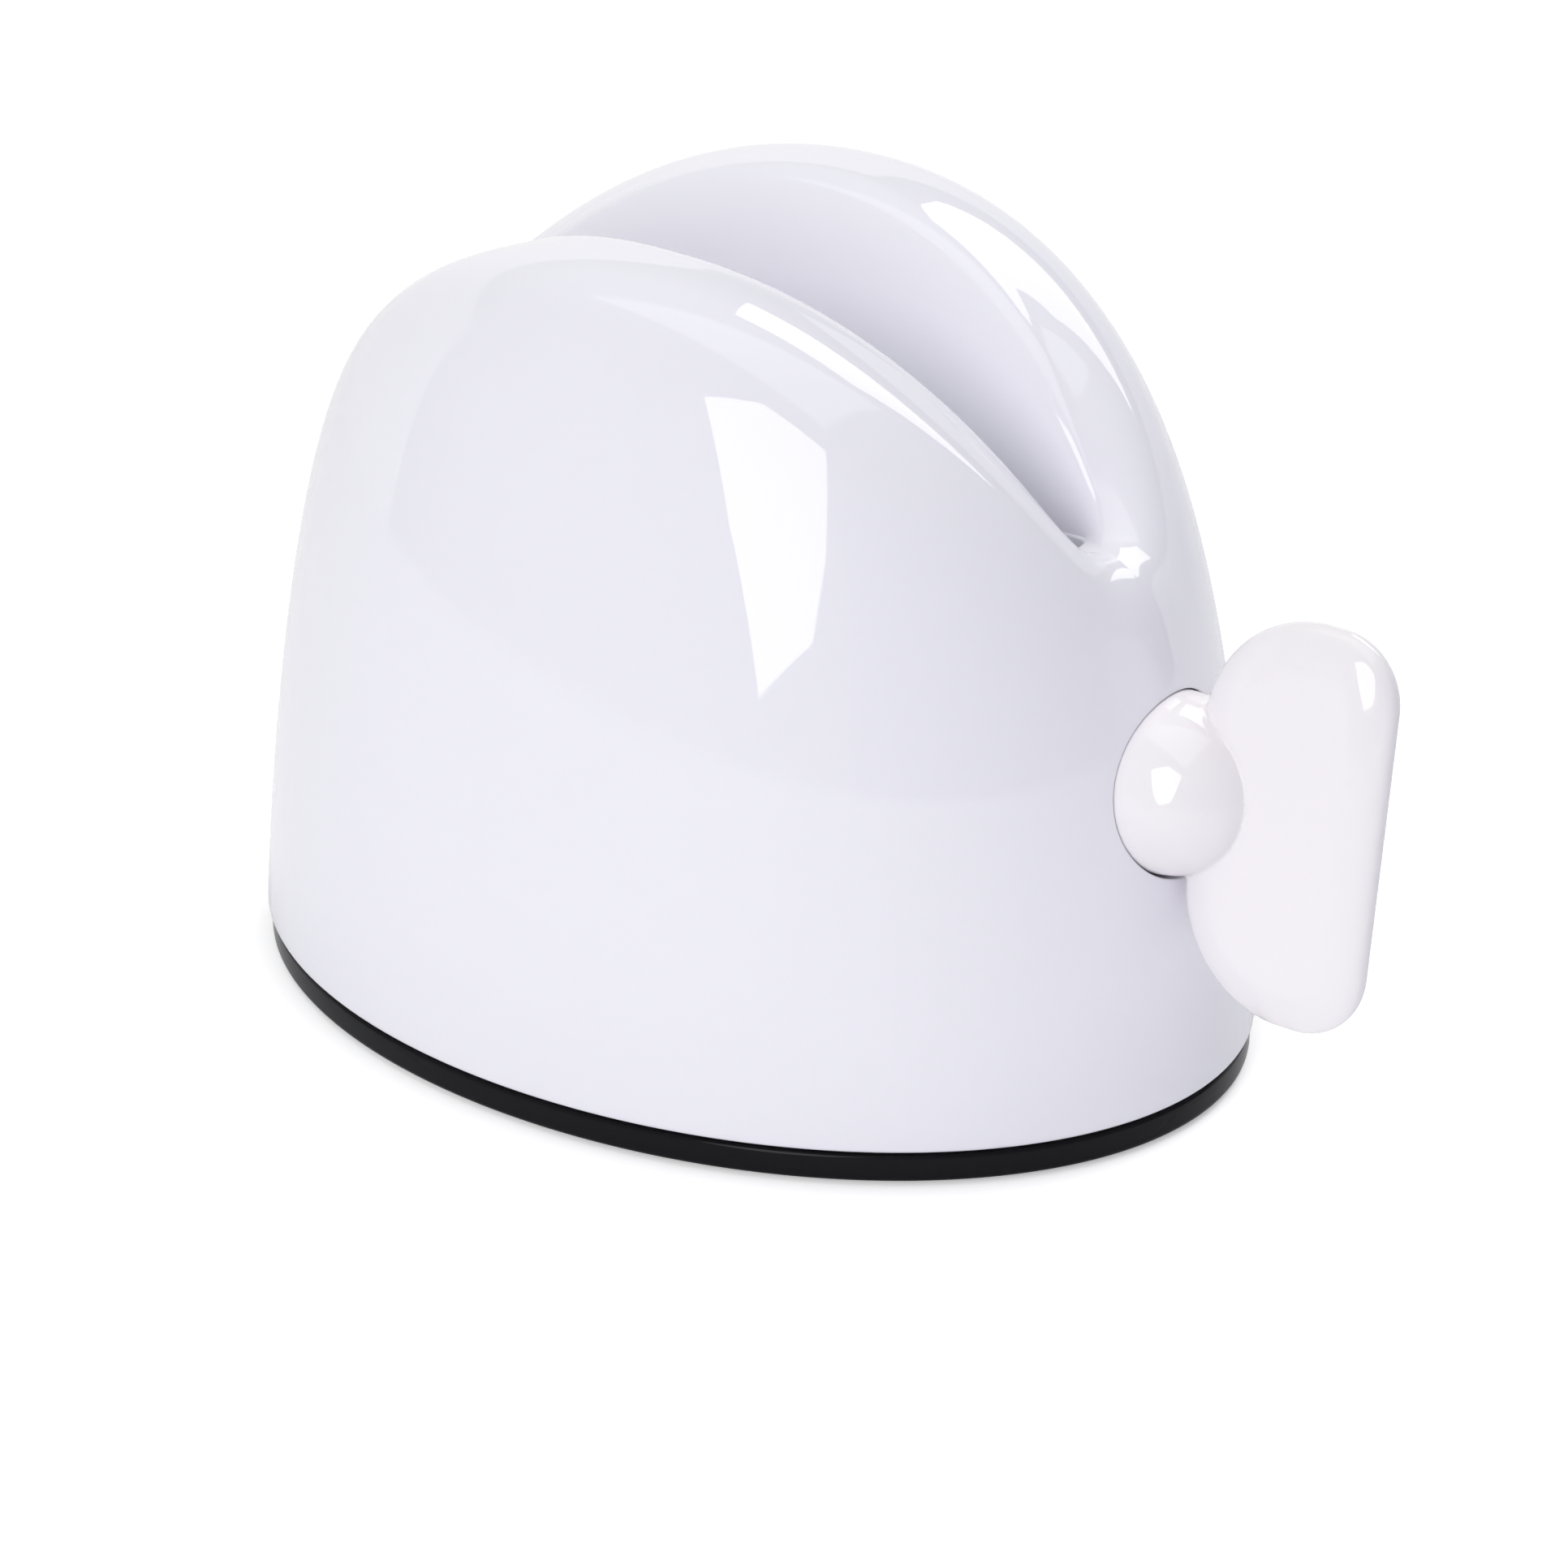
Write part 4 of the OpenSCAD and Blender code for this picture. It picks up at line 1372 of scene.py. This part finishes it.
@dataclass
class Panel:
    """A flat glowing panel, given by the directions of its corners from the object."""

    name: str
    edge: tuple[tuple[float, float], ...]
    distance: float
    strength: float
    colour: Colour = (1.0, 1.0, 1.0)

    def build(self, aim: Vector) -> None:
        """Hangs the panel square to its middle direction, unseen by the camera."""
        ways = [direction(*corner) for corner in self.edge]
        middle = sum(ways, Vector()).normalized()
        made = bpy.data.materials.new(self.name)
        panel = staged(self.name, [aim + way * (self.distance / way.dot(middle))
                                   for way in ways], made)
        panel.visible_camera = False
        g = blank_graph(made)
        glow = g.node("ShaderNodeEmission", {}, {"Color": (*self.colour, 1),
                                                 "Strength": self.strength})
        g.node("ShaderNodeOutputMaterial", {}, {"Surface": glow.outputs[0]})


def staged(name: str, rim: Sequence[Vector], material: bpy.types.Material) -> bpy.types.Object:
    """Makes a flat sheet of the stage from the points of its rim."""
    mesh = bpy.data.meshes.new(name)
    mesh.from_pydata(rim, [], [tuple(range(len(rim)))])
    mesh.materials.append(material)
    sheet = new_object(name, mesh)
    return sheet


def direction(azimuth: float, elevation: float) -> Vector:
    """The direction from the object at an azimuth and elevation in degrees."""
    a, e = math.radians(azimuth), math.radians(elevation)
    return Vector((math.sin(a) * math.cos(e), -math.cos(a) * math.cos(e), math.sin(e)))


@dataclass
class Studio:
    """Floor, surrounding light, lamps and the camera at the photograph's angle."""

    aim: Vector = field(default_factory=lambda: Vector((0, 0, 0.0303)))
    camera_azimuth: float = 37.149
    camera_elevation: float = 23.834
    camera_distance: float = 0.591008
    look_azimuth: float = 36.923
    look_elevation: float = 25.138
    lens: float = 191.25
    sensor: float = 36.0
    clip: tuple[float, float] = (0.01, 20.0)
    table_radius: float = 0.24
    table_steps: int = 128
    floor_colour: Colour = (0.93, 0.93, 0.94)
    floor_glow: float = 0.4
    sky: Colour = (1.0, 1.0, 1.0)
    sky_level: float = 0.32
    sky_slope: tuple[float, float, float] = (-0.10, -0.10, 0.06)
    panels: list[Panel] = field(default_factory=lambda: [
        Panel("front_softbox", ((-4.5, 36), (14, 45), (32, 36), (24, 10), (20, 1), (9, -4),
                                (3, 10)), 1.2, 4.6),
        Panel("back_softbox", ((150, 31), (204, 40), (208, 62), (150, 62)), 1.1, 4.2),
        Panel("back_wall", ((146, -16), (216, -16), (286, -16), (286, 16), (216, 28),
                            (146, 14)), 1.35, 0.95),
        Panel("dark_wall", ((28, -14), (86, -14), (144, -14), (144, 12), (86, 24), (28, 22)),
              1.3, 0.3, (0.7, 0.7, 1.0)),
        Panel("front_ceiling", ((-80, 50), (37, 46), (130, 60), (217, 80)), 1.4, 1.45),
    ])

    def camera(self) -> None:
        """Makes the camera."""
        data = bpy.data.cameras.new("camera")
        data.lens, data.sensor_width = self.lens, self.sensor
        data.clip_start, data.clip_end = self.clip
        camera = bpy.data.objects.new("camera", data)
        bpy.context.scene.collection.objects.link(camera)
        back = direction(self.look_azimuth, self.look_elevation)
        a = math.radians(self.look_azimuth)
        right = Vector((math.cos(a), math.sin(a), 0))
        up = back.cross(right)
        where = self.aim + self.camera_distance * direction(
            self.camera_azimuth, self.camera_elevation)
        camera.matrix_world = Matrix.Translation(where) @ Matrix(
            (right, up, back)).transposed().to_4x4()
        bpy.context.scene.camera = camera

    def floor(self) -> None:
        """Makes the pale floor."""
        made = bpy.data.materials.new("floor_white")
        staged("floor", [Vector((math.cos(a), math.sin(a), 0)) * self.table_radius
                         for a in round_angles(self.table_steps)], made)
        g = blank_graph(made)
        rays = g.node("ShaderNodeLightPath")
        seen = g.maths("MAXIMUM", Val(g, rays.outputs["Is Camera Ray"]),
                       Val(g, rays.outputs["Is Transmission Ray"]))
        plain = g.node("ShaderNodeBsdfDiffuse", {}, {"Color": (*self.floor_colour, 1)})
        glow = g.node("ShaderNodeEmission", {}, {"Color": (1, 1, 1, 1),
                                                 "Strength": self.floor_glow})
        both = g.node("ShaderNodeAddShader", {}, {0: plain.outputs[0], 1: glow.outputs[0]})
        mix = g.node("ShaderNodeMixShader", {}, {0: seen, 1: plain.outputs[0],
                                                 2: both.outputs[0]})
        g.node("ShaderNodeOutputMaterial", {}, {"Surface": mix.outputs[0]})

    def world(self) -> None:
        """Makes the surrounding light, which shows as white behind the object."""
        made = bpy.data.worlds.new("studio")
        bpy.context.scene.world = made
        g = blank_graph(made)
        rays = g.node("ShaderNodeLightPath")
        way = g.node("ShaderNodeTexCoord").outputs["Generated"]
        slope = g.out("ShaderNodeVectorMath", {"operation": "DOT_PRODUCT"},
                      {0: way, 1: self.sky_slope}, "Value")
        lit = g.node("ShaderNodeBackground", {}, {"Color": (*self.sky, 1),
                                                  "Strength": slope + self.sky_level})
        white = g.node("ShaderNodeBackground", {}, {"Color": (1, 1, 1, 1), "Strength": 1.0})
        mix = g.node("ShaderNodeMixShader", {}, {
            0: rays.outputs["Is Camera Ray"], 1: lit.outputs[0], 2: white.outputs[0]})
        g.node("ShaderNodeOutputWorld", {}, {"Surface": mix.outputs[0]})

    def build(self) -> None:
        """Sets up everything round the object."""
        bpy.context.scene.view_settings.view_transform = "Standard"
        self.camera()
        self.floor()
        self.world()
        for panel in self.panels:
            panel.build(self.aim)


def corners(box: tuple[Vector, Vector]) -> list[list[float]]:
    """A box's two corners as plain lists of numbers."""
    return [list(box[0]), list(box[1])]


def main() -> None:
    """Builds the model round the frame."""
    logging.basicConfig(level=logging.INFO, format="%(name)s %(message)s")
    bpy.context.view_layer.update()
    white = Moulded("shell_white", (0.875, 0.868, 0.93), (0.86, 0.853, 0.915)).material()
    key_white = Moulded("key_white", (0.905, 0.875, 0.905), (0.89, 0.86, 0.89)).material()
    rod_white = Moulded("rod_white", (0.82, 0.81, 0.84), (0.80, 0.79, 0.82),
                        roughness=0.25).material()
    black = Moulded("base_black", (0.006, 0.006, 0.008), (0.008, 0.008, 0.010),
                    roughness=0.12, specular=0.12).material()
    pad_black = Rubber("pad_black", (0.018, 0.018, 0.019)).material()
    ring_black = Rubber("ring_black", (0.012, 0.012, 0.012), 0.2, 0.4).material()
    steel = PlatedSteel("screw_steel").material()

    Shell().build(white)
    Posts().build(white)
    Base().build(black, pad_black)
    Key().build(key_white)
    for node, material in (("winding_rod", rod_white), ("key_pin", steel),
                           ("retaining_clip", steel), ("base_screws", steel),
                           ("friction_ring", ring_black)):
        dress_node(node, material)
    Studio().build()


if __name__ == "__main__":
    main()
